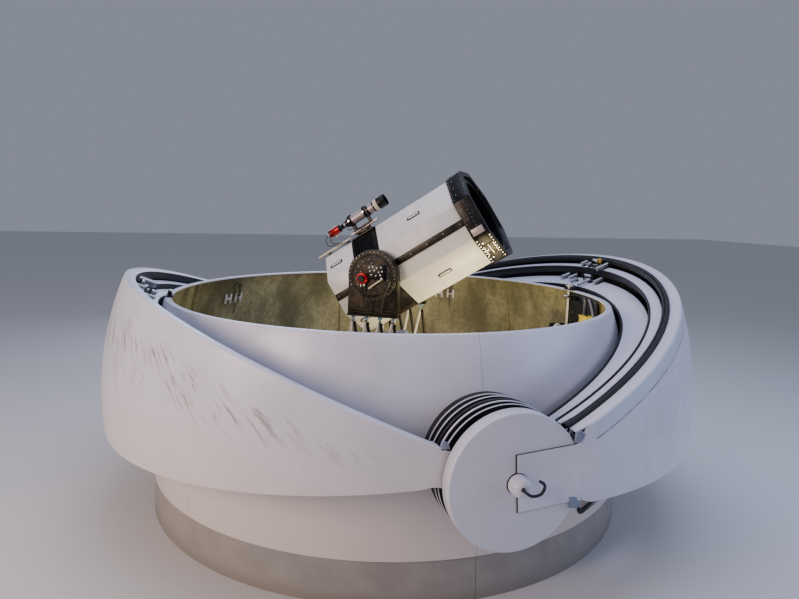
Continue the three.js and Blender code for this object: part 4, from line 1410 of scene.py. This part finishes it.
ringTrim = {   # plates bolted round the front ring; corners in the frame of one side
    "plate": ((-88, -196, 0.2), 196, 5),         # low corner, half width, top
    "narrowEnd": 26, "wideEnd": 88,
    "screwRow": range(-176, 177, 44), "boltRow": (-120, 0, 120),
    "cover": ((-70, -186, 5), (60, -112, 11)), "lower": ((-78, -80, 5), (78, 80, 10)),
    "lowerScrews": [(x, y) for x in (-55, 0, 55) for y in range(-66, 65, 26)],
    "baffle": [(392, 1250), (446, 1250), (446, 1256), (392, 1256)],
}


def makeRingTrim():
    look = ringTrim
    plates = Shape(tubePlace)
    small = []
    large = []
    sides = [facePlace(face, sum(tubeLook["ring"]) / 2, tubeLook["ringWidth"]) for face in range(8)]
    low, half, top = look["plate"]
    for face, local in enumerate(sides):
        narrow = face in (4, 0)
        end = look["narrowEnd"] if narrow else look["wideEnd"]
        plates.box(low, (end, half, top), "anodised" if narrow else "darkAnodised", local)
        small += [outOf(local, x, y, top + 1.5) for x in (-74, end - 14) for y in look["screwRow"]]
        large += [outOf(local, -34, y, top + 3) for y in look["boltRow"]]
    # bright cover plate on the near side, and a bolted plate below it
    plates.box(*look["cover"], "alloy", sides[4])
    plates.box(*look["lower"], "anodised", sides[5])
    small += [outOf(sides[5], x, y, 11) for x, y in look["lowerScrews"]]
    plates.fit("ring_plates", "telescope_tube", "anodised", bevel=1.2)
    screws("ring_screws", small, 6, 4, "telescope_tube", matrix=tubePlace)
    screws("ring_bolts", large, 9, 7, "telescope_tube", matrix=tubePlace)
    # light baffle inside the mouth
    baffle = Shape(tubePlace @ spin(90, "Y"))
    baffle.ringTurned(look["baffle"], "darkAnodised", steps=64)
    baffle.fit("mouth_baffle", "telescope_tube", "anodised")


makeTube()
makeTubeTrim()
makeRingTrim()
print("telescope tube made")


# Guide refractor above the tube

guideLook = {
    "side": -120, "height": 705,
    "solids": [   # turned on the optical axis: profile, paint, sides
        ([(48, -112), (54, -108), (54, 60), (54, 236)], "alloy", 48),
        ([(56, 236), (64, 240), (64, 256)], "darkAnodised", 48),
        ([(62, 256), (64, 258), (64, 300), (62, 302)], "cream", 48),
        ([(58, 306), (50, 316), (36, 322), (16, 325)], "glass", 48),
        ([(28, -212), (30, -208), (30, -176), (36, -172), (36, -140), (48, -132), (48, -108)],
         "darkAnodised", 40),
        ([(40, -168), (41, -166), (41, -150), (40, -148)], "steel", 40),
    ],
    "bands": [    # rings round the barrel, and the dew shield
        [(54, -108), (60, -106), (60, -82), (54, -80)],
        [(54, 150), (60, 152), (60, 176), (54, 178)],
        [(60, 302), (67.5, 304), (67.5, 398), (66, 400), (63, 400), (63, 310), (58, 310)],
    ],
    "camera": [
        ([(24, -213), (28, -216), (28, -232), (43, -236), (43, -248)], "darkAnodised", 32),
        ([(43, -248), (44, -252), (44, -330), (40, -338)], "red", 40),
        ([(38, -336), (38, -380), (34, -390)], "darkAnodised", 32),
    ],
    "plugs": [((52, 10, -300), (62, 10, -330), 9), ((-42, -16, -285), (-58, -16, -285), 8)],
    "leads": [    # (along, across from the axis, up from the seat on the tube)
        [(-392, -20, 214.6), (-440, -60, 174.6), (-430, -90, 94.6), (-330, -110, 49.6), (-240, -100, 6),
         (-190, -90, 5)],
        [(-392, 14, 204.6), (-420, 10, 124.6), (-330, -20, 64.6), (-215, -40, 22), (-180, -30, 6)],
        [(-150, -40, 154.6), (-120, -90, 124.6), (-40, -96, 104.6), (20, -80, 60)],
    ],
}
standLook = {   # across from the axis and up from the seat
    "foot": (150, 108, 12),
    "blocks": [
        ((-88, -38, 10), (88, 38, 66), "anodised"), ((-66, -58, 30), (66, 58, 52), "darkAnodised"),
        ((-150, -34, 66), (215, 34, 84), "alloy"), ((-98, -60, 84), (148, 60, 94), "darkAnodised"),
    ],
    "rings": (-74, 126), "ring": [(57, -15), (72, -15), (74, -12), (74, 12), (72, 15), (57, 15)],
    "knobs": [(-60, -70), (60, -70), (-60, 70), (60, 70)], "knobHeight": 40,
    "tray": [
        ((-514, -20, 0), (-486, 20, 42), "darkAnodised"), ((-244, -20, 0), (-216, 20, 42), "darkAnodised"),
        ((-640, -26, 41), (-190, 26, 46), "cream"), ((-640, -26, 45), (-190, -22, 60), "cream"),
        ((-640, 22, 45), (-190, 26, 60), "cream"),
    ],
}


def makeGuideScope():
    look = guideLook
    axis = tubePlace @ move(0, look["side"], look["height"]) @ spin(90, "Y")
    barrel = Shape(axis)
    for profile, paint, sides in look["solids"]:
        barrel.turned(profile, paint, sides=sides)
    for profile in look["bands"]:
        barrel.ringTurned(profile, "darkAnodised", steps=48)
    barrel.fit("guide_refractor", "telescope_tube", "tube_white", "guide_scope", sharp=40)

    camera = Shape(axis)
    for profile, paint, sides in look["camera"]:
        camera.turned(profile, paint, sides=sides)
    for turn in range(0, 360, 30):
        camera.box((39, -3, -378), (43, 3, -340), "red", spin(turn))
    camera.box((-14, -40, -396), (14, 40, -388), "nylon")
    for start, end, radius in look["plugs"]:
        camera.rod(start, end, radius, "nylon")
    camera.fit("guide_camera_body", "telescope_tube", "red_anodised", "guide_camera", sharp=40)

    # stand on the tube's top, the leads down to it and the cable tray
    look = standLook
    seat = tubePlace @ move(0, guideLook["side"], tubeLook["width"] / 2 + 0.4)
    axisHeight = guideLook["height"] - tubeLook["width"] / 2 - 0.4
    stand = Shape(seat)
    halfLength, halfWidth, thick = look["foot"]
    stand.plate(roundedRectangle(halfLength, halfWidth, thick), 0, thick, "darkAnodised")
    for low, high, paint in look["blocks"]:
        stand.box(low, high, paint)
    for x in look["rings"]:
        stand.ringTurned(look["ring"], "darkAnodised", move(x, 0, axisHeight) @ spin(90, "Y"), steps=48)
        stand.box((x - 14, -30, 92), (x + 14, 30, axisHeight - 60), "darkAnodised")
        for side in (-1, 1):
            low, high = (x - 12, side * 66, axisHeight - 12), (x + 12, side * 84, axisHeight + 12)
            stand.box(low, high, "darkAnodised")
        stand.rod((x, -82, axisHeight), (x, -106, axisHeight), 10, "chrome", sides=20)
    height = look["knobHeight"]
    for x, y in look["knobs"]:
        stand.rod((x, y * 0.8, height), (x, y * 1.35, height), 12, "chrome", sides=20)
        stand.rod((x, y * 1.3, height), (x, y * 1.55, height), 19, "darkAnodised", sides=20)
    stand.fit("guide_stand_parts", "telescope_tube", "anodised", "guide_stand", sharp=40)
    cables("guide_leads", guideLook["leads"], 4.5, "telescope_tube", matrix=seat)
    tray = Shape(seat)
    for low, high, paint in look["tray"]:
        tray.box(low, high, paint)
    tray.fit("cable_tray", "telescope_tube", "anodised")


makeGuideScope()
print("guide scope made")


# Fork mount

mountLook = {
    "armInner": 510, "armOuter": 600, "armHalf": 280, "armFoot": 2030, "bearing": 275,
    "cap": [   # (radius, out from the azimuth axis)
        (269, 600.4), (271, 603), (271, 622), (268, 626), (233, 626), (231, 622), (223, 622), (221, 627),
        (215, 635), (209, 640), (150, 640), (148, 635), (112, 635), (110, 640), (20, 640)],
    "boltRings": ((252, 36, 628), (180, 16, 642), (130, 10, 637)),   # radius, number, distance out
    "footRows": (18, 46), "footPitch": 30.2,     # two rows of bolts up from the arm's foot
    "armBolts": [(-60, -300), (0, -320), (60, -300), (-130, -330), (130, -330), (-30, -350), (35, -352)],
    "motor": (-95, -30),
}


def makeForkArms():
    look = mountLook
    height = scope["height"]
    half = look["armHalf"]
    foot = look["armFoot"] - height
    rimSpots = []
    plateSpots = []
    outline = [(half, foot), (half, foot + 60)] + arcPoints((0, 0), look["bearing"], 0, 180, 44)
    outline += [(-half, foot + 60), (-half, foot)]
    for name, end in (("near", -1), ("far", 1)):
        arm = Shape(mountPlace @ move(0, 0, height))
        arm.plate(outline, -end * look["armInner"], -end * look["armOuter"], "anodised", spin(90, "X"))
        arm.fit(f"fork_plate_{name}", "telescope_mount", "anodised", f"fork_arm_{name}", sharp=40, bevel=2.5)
        cap = Shape(mountPlace @ move(0, 0, height) @ spin(-90 * end, "X"))
        cap.turned(look["cap"], "anodised", sides=96)
        cap.fit(f"bearing_cover_{name}", "telescope_mount", "anodised", f"bearing_cap_{name}")
        facing = Vector((0, end, 0))
        for radius, count, out in look["boltRings"]:
            for i in range(count):
                turn = math.tau * (i + 0.5) / count
                spot = (radius * math.cos(turn), end * out, height + radius * math.sin(turn))
                rimSpots.append((Vector(spot), facing))
        bolts = [(-half + 22 + i * look["footPitch"], foot + z) for z in look["footRows"] for i in range(18)]
        for x, z in bolts + look["armBolts"]:
            plateSpots.append((Vector((x, end * (look["armOuter"] + 2), height + z)), facing))
    screws("bearing_bolts", rimSpots, 7, 5, "telescope_mount", matrix=mountPlace)
    screws("fork_bolts", plateSpots, 6, 5, "telescope_mount", matrix=mountPlace)


bearingTrim = {   # on the near bearing cap; X to the right, Y up, Z out of the cap
    "boxes": [
        ((-40, -30, 0.2), (150, 120, 34), "darkAnodised"), ((-30, -20, 33), (140, 110, 38), "anodised"),
        ((112, -38, 24), (140, -12, 46), "steel")],
    "handle": ((128, -24, 34), (-30, -135, 14)),
    "pins": [(-10, 90), (30, 95), (72, 84), (118, 96), (0, 50), (46, 58), (96, 44), (130, 52), (14, 12),
             (64, 6), (112, 14)],
    "motor": [
        ([(57, 0.3), (60, 4), (60, 44), (57, 48), (44, 50)], "red", 48),
        ([(38, 50), (38, 82), (34, 90), (20, 90)], "darkAnodised", 40)],
    "motorRing": [(40, 56), (52, 56), (54, 60), (52, 64), (40, 64)],
    "plugs": [((-10, -58, 24), (-14, -88, 26), 11, "chrome"), ((18, -54, 24), (22, -80, 26), 10, "nylon")],
    "leads": [
        [(-106, -120, 26), (-108, -160, 24), (-96, -220, 14), (-70, -300, 8), (-60, -360, 6)],
        [(-72, -112, 26), (-66, -170, 30), (-40, -240, 14), (-10, -320, 8), (0, -380, 6)],
        [(150, 60, 20), (190, 20, 24), (196, -80, 16), (150, -200, 8), (120, -320, 6), (118, -390, 6)],
    ],
}


def makeBearingFittings():
    # connector box, lead clips and motor on the near bearing
    look = bearingTrim
    near = mountPlace @ move(0, -640, scope["height"]) @ spin(90, "X")
    box = Shape(near)
    for low, high, paint in look["boxes"]:
        box.box(low, high, paint)
    for x, y in look["pins"]:
        box.rod((x, y, 36), (x, y, 48), 11, "steel", sides=12)
    box.rod(*look["handle"], 8, "cream", sides=12)
    box.fit("connector_box", "telescope_mount", "anodised", sharp=40, bevel=1.5)
    pins = [(Vector((x, y, 50)), Vector((0, 0, 1))) for x, y in look["pins"]]
    screws("connector_pins", pins, 6, 4, "telescope_mount", matrix=near)

    motor = Shape(near @ move(*mountLook["motor"], 0))
    for profile, paint, sides in look["motor"]:
        motor.turned(profile, paint, sides=sides)
    motor.ringTurned(look["motorRing"], "red", steps=40)
    for turn in range(0, 360, 60):
        motor.rod((50, 0, 46), (50, 0, 54), 4.5, "chrome", spin(turn), sides=10)
    for start, end, radius, paint in look["plugs"]:
        motor.rod(start, end, radius, paint, sides=16)
    motor.fit("altitude_drive", "telescope_mount", "red_anodised", "altitude_motor", sharp=40)
    cables("mount_leads", look["leads"], 5, "telescope_mount", matrix=near)


towerLook = {
    "tops": (-230, -77, 77, 230), "feet": (-330, -198, -66, 66, 198, 330),
    "footAt": 600, "headAt": 560, "floor": 1200,
    "bar": 17, "barInset": 52, "eye": 22, "eyeHalf": 15,
}


def makeStrut(shape, low, high, paint):
    # rod with a hexagon nut, a threaded end and a round eye at each end; blue eyes at the head
    look = towerLook
    axis = (high - low).normalized()
    wide = Vector((0, look["eyeHalf"], 0))
    shape.rod(low + axis * look["barInset"], high - axis * look["barInset"], look["bar"], paint, sides=20)
    for point, way, eye in ((low, 1, "steel"), (high, -1, "blue")):
        shape.rod(point + axis * way * 16, point + axis * way * 60, 9, "chrome", sides=16)
        shape.rod(point + axis * way * 54, point + axis * way * 80, 21, paint, sides=6)
        shape.rod(point - wide, point + wide, look["eye"], eye, sides=24)
        shape.rod(point - wide * 1.5, point + wide * 1.5, 10, "chrome", sides=6)


def makeTowers():
    look = towerLook
    floor = look["floor"]
    top = mountLook["armFoot"]
    for name, end in (("near", -1), ("far", 1)):
        tower = Shape(mountPlace)
        tower.box((-370, end * 540, floor + 0.4), (370, end * 650, floor + 18), "darkAnodised")
        tower.box((-280, end * 525, top - 22), (280, end * 625, top - 0.4), "darkAnodised")
        for i, x in enumerate(look["tops"]):
            for foot in (look["feet"][i], look["feet"][i + 2]):
                low = Vector((foot, end * look["footAt"], floor + 40))
                high = Vector((x, end * look["headAt"], top - 44))
                makeStrut(tower, low, high, "nylon" if foot < x else "darkAnodised")
        tower.fit(f"struts_{name}", "telescope_mount", "bare_steel", f"strut_tower_{name}", sharp=40)


strutBoxes = {
    "places": ((342, 1800, 52, 86), (300, 1630, 46, 70)),      # across, height, half width, half height
    "back": -575, "front": -640, "lid": -648, "lidInset": 8,
}


def makeStrutBoxes():
    # two small grey control boxes strapped to the struts on the near right
    look = strutBoxes
    front, lid, inset = look["front"], look["lid"], look["lidInset"]
    boxes = Shape(mountPlace)
    for x, z, wide, tall in look["places"]:
        boxes.box((x - wide, front, z - tall), (x + wide, look["back"], z + tall), "fitting")
        across, up = wide - inset, tall - inset
        boxes.box((x - across, lid, z - up), (x + across, front + 1, z + up), "grey")
        boxes.rod((x, lid + 2, z - tall + 4), (x - 20, lid + 2, z - tall - 60), 8, "cable", sides=12)
    boxes.fit("strut_boxes", "telescope_mount", "anodised", sharp=40, bevel=3)


turntableLook = {
    "solids": [   # plate, then the white drum of the azimuth drive, seen between the struts
        ([(560, 1100.4), (700, 1126), (752, 1136), (760, 1146), (760, 1192), (756, 1198), (748, 1200),
          (420, 1200)], "anodised", 120),
        ([(404, 1199), (400, 1212), (400, 1600), (394, 1612), (372, 1620)], "tubeWhite", 96),
        ([(330, 1618), (330, 1660), (320, 1668), (120, 1668)], "darkAnodised", 96),
    ],
    "bolts": (725, 1203),        # radius of the circle, height
}
pierLook = {
    "column": [
        (446, 0), (450, 4), (450, 34), (444, 40), (310, 40), (300, 50), (300, 1050), (310, 1060),
        (534, 1060), (540, 1066), (540, 1094), (536, 1100)],
    "gusset": [(296, 38), (430, 38), (430, 60), (306, 260), (296, 260)],
    "nuts": (410, 48),
}


def boltCircle(count, radius, height):
    turns = [math.tau * i / count for i in range(count)]
    return [(Vector((radius * math.cos(turn), radius * math.sin(turn), height)), Vector((0, 0, 1)))
            for turn in turns]


def makeTurntable():
    table = Shape(mountPlace)
    for profile, paint, sides in turntableLook["solids"]:
        table.turned(profile, paint, sides=sides)
    table.fit("turntable", "telescope_mount", "anodised", "azimuth_turntable", sharp=40)
    spots = boltCircle(48, *turntableLook["bolts"])
    screws("turntable_bolts", spots, 11, 8, "telescope_mount", sides=6, matrix=mountPlace)

    pier = Shape()
    pier.turned(pierLook["column"], "pier", sides=96)
    for i in range(8):
        pier.plate(pierLook["gusset"], -7, 7, "pier", spin(45 * i + 22.5) @ spin(90, "X"))
    pier.fit("pier_column", "dome_base", "pier_paint", "telescope_pier", sharp=40)
    nuts = boltCircle(16, *pierLook["nuts"])
    screws("pier_anchor_nuts", nuts, 20, 16, "dome_base", "steel", 6)


makeForkArms()
makeBearingFittings()
makeTowers()
makeStrutBoxes()
makeTurntable()
print("fork mount made")


# Drives on the rim, belt rollers on the flanges, cleats on the inner wall

driveLook = {   # local X points outwards
    "roller": 2392, "rollerUp": 46, "rollerRadius": 21.5,      # rim roller: distance out, up from its seat
    "seatPlate": (40, 90, 9), "ear": (84, 18, 22),     # half sizes and thickness; place, half width, radius
    "drum": (2319, 1680, 48), "beltHalf": 20, "beltThick": 3,      # drum: distance out, height, radius
    "case": (2212, 2402, 150, 1450, 1745),             # from, to, half width, foot, top
    "motor": (2290, 1600, 66), "bearing": [(40, 0), (62, 0), (64, 4), (62, 8), (40, 8)],
}
brackets = {    # distance along the leading plane, half length, height; mm
    "right_inner": (2860, 90, 95), "right_middle": (3024, 75, 110),
    "left_inner": (2754, 80, 85), "left_middle": (2876, 80, 85),
}
bracketLook = {
    "halfWidth": 34, "cheek": 24, "upper": (8, 18), "lower": (-10, 34, 14),   # rollers: x, z, radius
    "pegs": (-0.45, 0.1, 0.55), "pegAt": 26, "wheel": [(5, 20), (11, 20), (12, 23), (11, 28), (5, 28)],
}
guideRollers = {   # rollers that point outwards: along the edge, height, inner end, outer end, radius
    "right_inner": [
        (-205, 36, -62, 66, 26), (-60, 40, -200, -44, 20), (190, 32, -150, -64, 22), (330, 36, -80, 44, 24),
        (480, 36, -100, 24, 26)],
    "right_middle": [(-165, 36, -118, 42, 28), (128, 36, -46, 42, 24), (262, 34, -46, 42, 26)],
    "left_inner": [(-170, 34, -46, 44, 24), (180, 34, -46, 44, 24)],
    "left_middle": [(205, 52, -130, 30, 36), (-190, 36, -42, 42, 26)],
}


def groovedRoller(shape, start, end, radius, paint, grooves=9):
    local, length = alongRod(start, end)
    core = radius * 0.9
    profile = [(radius * 0.6, 0), (radius, length * 0.02)]
    for i in range(grooves):
        a, b = (length * (0.06 + 0.88 * (i + part) / grooves) for part in (0, 0.5))
        profile += [(radius, a), (core, a + 1), (core, b), (radius, b + 1)]
    shape.turned(profile + [(radius, length * 0.98), (radius * 0.6, length)], paint, local, 28)


def makeRimRoller(name, local):
    look = driveLook
    seat = sizes["rim"] + 0.4
    x = look["roller"]
    z = seat + look["rollerUp"]
    pulley = Shape(local)
    wide, long, thick = look["seatPlate"]
    pulley.plate(roundedRectangle(wide, long, 8), seat, seat + thick, "darkAnodised", move(x - 1, 0, 0))
    earAt, half, radius = look["ear"]
    ear = [(x - half, seat + 8), (x + half, seat + 8)] + arcPoints((x, z), radius, 0, 180, 10)
    for end in (-1, 1):
        pulley.plate(ear, -6, 6, "darkAnodised", move(0, end * earAt, 0) @ spin(90, "X"))
        pulley.rod((x, end * (earAt - 8), z), (x, end * (earAt + 6), z), 9, "chrome", sides=20)
        pulley.rod((x, end * (earAt + 5), z), (x, end * (earAt + 6), z), 15, "steel", sides=6)
    groovedRoller(pulley, (x, 7 - earAt, z), (x, earAt - 7, z), look["rollerRadius"], "steel")
    pulley.fit(f"rim_rollers_{name}", "dome_base", "bare_steel", f"rim_pulley_{name}", sharp=40, bevel=0.8)
    spots = [(Vector((x + dx, y, seat + 12)), Vector((0, 0, 1))) for dx in (-30, 32) for y in (-64, 0, 64)]
    screws(f"rim_roller_bolts_{name}", spots, 8, 6, "dome_base", sides=6, matrix=local)


def makeBeltDrive(name, local):
    # belt drive below the rim: open case with the drum, motor and bearings
    look = driveLook
    drumX, drumZ, drumRadius = look["drum"]
    motorX, motorZ, motorRadius = look["motor"]
    back, front, half, foot, top = look["case"]
    under = sizes["rim"] - sizes["wallThick"] - 0.6
    drive = Shape(local)
    for low, high, paint in [
        ((back, -half, foot), (back + 8, half, 1640), "darkAnodised"),
        ((back, -half, foot), (front, 8 - half, top), "darkAnodised"),
        ((back, half - 8, foot), (front, half, top), "darkAnodised"),
        ((back, -half, foot), (front, half, foot + 12), "darkAnodised"),
        ((front - 10, 2 - half, foot + 2), (front, half - 2, top - 2), "spacer"),
        ((front - 20, -14, top - 20), (front + 2, 14, under), "spacer"),
        ((front - 24, -40, under - 8), (front + 2, 40, under), "spacer"),
    ]:
        drive.box(low, high, paint)
    drum = ((drumX, 12 - half, drumZ), (drumX, half - 12, drumZ))
    groovedRoller(drive, *drum, drumRadius, "steel", grooves=11)
    for end in (-1, 1):
        bearing = move(drumX, end * (half - 24), drumZ) @ spin(90, "X")
        drive.ringTurned(look["bearing"], "nylon", bearing, steps=40)
        drive.rod((drumX, end * (half - 14), drumZ), (drumX, end * (half + 6), drumZ), 14, "chrome", sides=24)
    drive.rod((motorX, -252, motorZ), (motorX, -half, motorZ), motorRadius, "grey", sides=48)
    drive.rod((motorX, -260, motorZ), (motorX, -250, motorZ), motorRadius - 14, "darkAnodised", sides=48)
    drive.box((back + 10, -120, foot + 14), (back + 28, 40, 1640), "grey")
    drive.fit(f"belt_drive_{name}", "dome_base", "black_paint", f"drive_box_{name}", sharp=40, bevel=2)


def makeDriveBelt(name, local):
    # from the drum up over the rim roller
    look = driveLook
    drumX, drumZ, drumRadius = look["drum"]
    half = look["beltHalf"]
    middle = (look["roller"], sizes["rim"] + 0.4 + look["rollerUp"])
    inner = drumX + drumRadius + 1
    around = look["rollerRadius"] + 0.5
    belt = Shape(local)
    belt.box((inner, -half, drumZ - 10), (inner + look["beltThick"], half, middle[1] + 6), "belt")
    over = arcPoints(middle, around + 2.5, 14, 166, 12) + arcPoints(middle, around, 166, 14, 12)
    belt.plate(over, -half, half, "belt", spin(90, "X"))
    belt.fit(f"drive_belt_{name}", "dome_base", "seal_rubber")


def bracketPlace(name):
    # frame on a leading flange: X along the flange, Z square to it
    shutter = shutters[name]
    turn, above = shutter["lead"]
    side = shutter["side"]
    out, up = leadSpot(shutter, brackets[name][0], above + 0.4)
    return move(side * out, 0, sizes["hub"] + up) @ spin(-side * turn, "Y")


def makeBracket(name, half, tall):
    look = bracketLook
    local = bracketPlace(name)
    cheek = look["cheek"]
    top = tall - cheek
    upperX, upperRadius = look["upper"]
    lowerX, lowerZ, lowerRadius = look["lower"]
    bracket = Shape(local)
    bracket.plate(roundedRectangle(look["halfWidth"], half, 8), 0, 8, "darkAnodised")
    arch = arcPoints((0, top), cheek, 8, 172, 10)
    outline = [(-cheek, 6), (cheek, 6), (cheek, top)] + arch + [(-cheek, top)]
    for end in (-1, 1):
        bracket.plate(outline, -5, 5, "darkAnodised", move(0, end * (half - 6), 0) @ spin(90, "X"))
        for x, z, r in ((upperX, top, 13), (lowerX, lowerZ, 9)):
            bracket.rod((x, end * (half - 8), z), (x, end * half, z), r, "chrome", sides=24)
    for x, z, radius, metal, grooves in (
            (upperX, top + 2, upperRadius, "chrome", 8), (lowerX, lowerZ, lowerRadius, "steel", 5)):
        groovedRoller(bracket, (x, 12 - half, z), (x, half - 12, z), radius, metal, grooves)
    x = look["pegAt"]
    for y in [share * half for share in look["pegs"]]:
        bracket.rod((x, y, 7), (x, y, 30), 7, "steel", sides=16)
        bracket.ringTurned(look["wheel"], "nylon", move(x, y, 0), steps=24)
    bracket.fit(f"belt_rollers_{name}", name, "bare_steel", f"belt_bracket_{name}", sharp=40, bevel=0.6)
    spots = [(Vector((x, y, 11)), Vector((0, 0, 1))) for x in (-24, 6) for y in (26 - half, half - 26)]
    screws(f"bracket_bolts_{name}", spots, 7, 5, name, sides=6, matrix=local)


guideLimit = -44     # rollers rest on the flange from here outwards
beltKnob = {         # brass ball that locks the belt, on its post
    "flange": "right_middle", "at": (-14, -114),
    "profile": [(9, 4), (9, 64), (14, 68), (24, 76), (30, 90), (32, 104), (29, 118), (20, 130), (9, 135),
                (2, 136)],
}


def makeGuideRollers(name, rollers):
    # knurled rollers beside the bracket, pointing outwards, with bright domed ends
    side = shutters[name]["side"]
    units = Shape(bracketPlace(name))
    for y, height, inner, outer, radius in rollers:
        ends = [side * inner, side * outer]
        groovedRoller(units, (ends[0], y, height), (ends[1], y, height), radius, "steel", grooves=7)
        dome = [(radius - 4, -2), (radius - 3, 4), (radius - 10, 9), (radius - 17, 11)]
        for x, away in ((ends[0], -side), (ends[1], side)):
            units.turned(dome, "chrome", move(x, y, height) @ spin(90 * away, "Y"), 28)
        # forked stand under the part that lies over the flange
        foot = side * (max(inner, guideLimit) + outer) / 2
        reach = (outer - max(inner, guideLimit)) / 2
        units.box((foot - reach + 4, y - radius, 0), (foot + reach - 4, y + radius, 7), "darkAnodised")
        for x in (foot - reach * 0.55, foot + reach * 0.55):
            units.box((x - 5, y - radius * 0.7, 6), (x + 5, y + radius * 0.7, height), "darkAnodised")
    if name == beltKnob["flange"]:
        units.turned(beltKnob["profile"], "brass", move(*beltKnob["at"], 0), 32)
    units.fit(f"guide_rollers_{name}", name, "bare_steel", sharp=40, bevel=0.6)


drivePanel = {
    "radius": 2396, "thick": 8, "low": 1640, "high": 2166, "start": -18, "end": -0.8,
    "standOffs": [(azimuth, height) for azimuth in (-16.5, -9, -2) for height in (1690, 1920, 2130)],
    "strutAt": -9.6, "cheeksAt": -4, "boxAt": -14,
    "pipe": [(-12.6, 2138), (-13.2, 2128), (-14.7, 2070), (-16.5, 1980), (-17.2, 1880), (-17.4, 1760)],
}


def makeDrivePanel():
    # black panel on stand-offs beside the right drive, with its strut, bent pipe and yellow box
    look = drivePanel
    radius = look["radius"]
    low, high = look["low"], look["high"]
    inner, outer = radius, radius + look["thick"]
    panel = Shape()
    panel.ringTurned([(inner, low), (outer, low), (outer, high), (inner, high)], "spacer",
                     start=look["start"], sweep=look["end"] - look["start"], steps=14)
    for azimuth, height in look["standOffs"]:
        turn = spin(azimuth)
        wall = wallRadius(height, -sizes["wallThick"])
        panel.rod((radius + 4, 0, height), (wall + 3, 0, height), 10, "steel", turn, sides=12)
        panel.rod((radius - 6, 0, height), (radius + 1, 0, height), 12, "steel", turn, sides=6)
    for azimuth, deep, left, right, foot, top, paint in [
        (look["strutAt"], 24, -11, 11, low + 30, high - 16, "grey"),
        (look["strutAt"], 30, -24, 24, high - 60, high - 16, "steel"),
        (look["cheeksAt"], 62, -32, -26, 2080, 2132, "darkAnodised"),
        (look["cheeksAt"], 62, 44, 50, 2080, 2132, "darkAnodised"),
        (look["boxAt"], 120, -72, 72, 1780, 1948, "yellow"),
        (look["boxAt"], 128, -80, 80, 1946, 1958, "yellow"),
    ]:
        panel.box((radius - deep, left, foot), (radius + 1, right, top), paint, spin(azimuth))
    # roller against the belt, and three glands on the yellow box
    groovedRoller(panel, (radius - 44, -30, 2108), (radius - 44, 46, 2108), 17, "chrome", grooves=4)
    turn = spin(look["boxAt"])
    for y in (-44, 0, 44):
        panel.rod((radius - 60, y, 1956), (radius - 60, y, 1972), 14, "spacer", turn, sides=20)
    panel.fit("drive_panel", "dome_base", "black_paint", sharp=40, bevel=1.5)
    pipe = [spin(azimuth) @ Vector((radius - 16, 0, height)) for azimuth, height in look["pipe"]]
    cables("panel_pipe", [pipe], 15, "dome_base", "grey", "pier_paint", 16)


cleatLook = {
    "height": 1895, "azimuths": (129.2, 133.4, 51.2, 55.4), "bar": 13, "tall": 66, "gap": 44,
    "cords": [    # (along the wall, up it, out of it)
        [(-20, -200, 10), (-34, -120, 14), (-20, -40, 30), (20, 10, 32), (34, 60, 26), (26, 150, 10),
         (30, 236, 22)],
        [(20, -10, 30), (60, -70, 30), (90, -150, 12), (60, -215, 10), (10, -190, 10), (-10, -110, 16),
         (10, -30, 32)],
    ],
}


def cleatPlace(azimuth):
    # local Z points into the room, Y up the wall, X along it
    height = cleatLook["height"]
    radius = wallRadius(height, -sizes["wallThick"])
    lean = math.degrees(math.asin((height - sizes["hub"]) / sizes["zone"]))
    facing = Matrix(((0, 0, -1, 0), (1, 0, 0, 0), (0, -1, 0, 0), (0, 0, 0, 1)))
    return spin(azimuth) @ move(radius, 0, height) @ spin(-lean, "Y") @ facing


def makeCleats():
    # H-shaped rope cleats on the inner wall; cords run over every second one, up to the rim
    look = cleatLook
    cleats = Shape()
    cords = []
    for i, azimuth in enumerate(look["azimuths"]):
        local = cleatPlace(azimuth)
        for x in (-look["gap"], look["gap"]):
            upright = roundedRectangle(look["bar"], look["tall"], 5)
            cleats.plate(upright, 10, 30, "nylon", local @ move(x, 0, 0))
        cleats.plate(roundedRectangle(look["gap"], look["bar"], 4), 12, 28, "nylon", local)
        for x in (-12, 12):
            cleats.rod((x, 0, -3), (x, 0, 14), 7, "steel", local, sides=16)
        if i % 2 == 0:
            cords += [[local @ Vector(p) for p in cord] for cord in look["cords"]]
    cleats.fit("wall_cleats", "dome_base", "bare_steel", sharp=40, bevel=1.2)
    cables("wall_cords", cords, 4, "dome_base")


for sideName, turn in (("right", 0), ("left", 180)):
    for makePart in (makeRimRoller, makeBeltDrive, makeDriveBelt):
        makePart(sideName, spin(turn))
for bracketName, (_, half, tall) in brackets.items():
    makeBracket(bracketName, half, tall)
    makeGuideRollers(bracketName, guideRollers[bracketName])
makeDrivePanel()
makeCleats()
print("drives, rollers and cleats made")
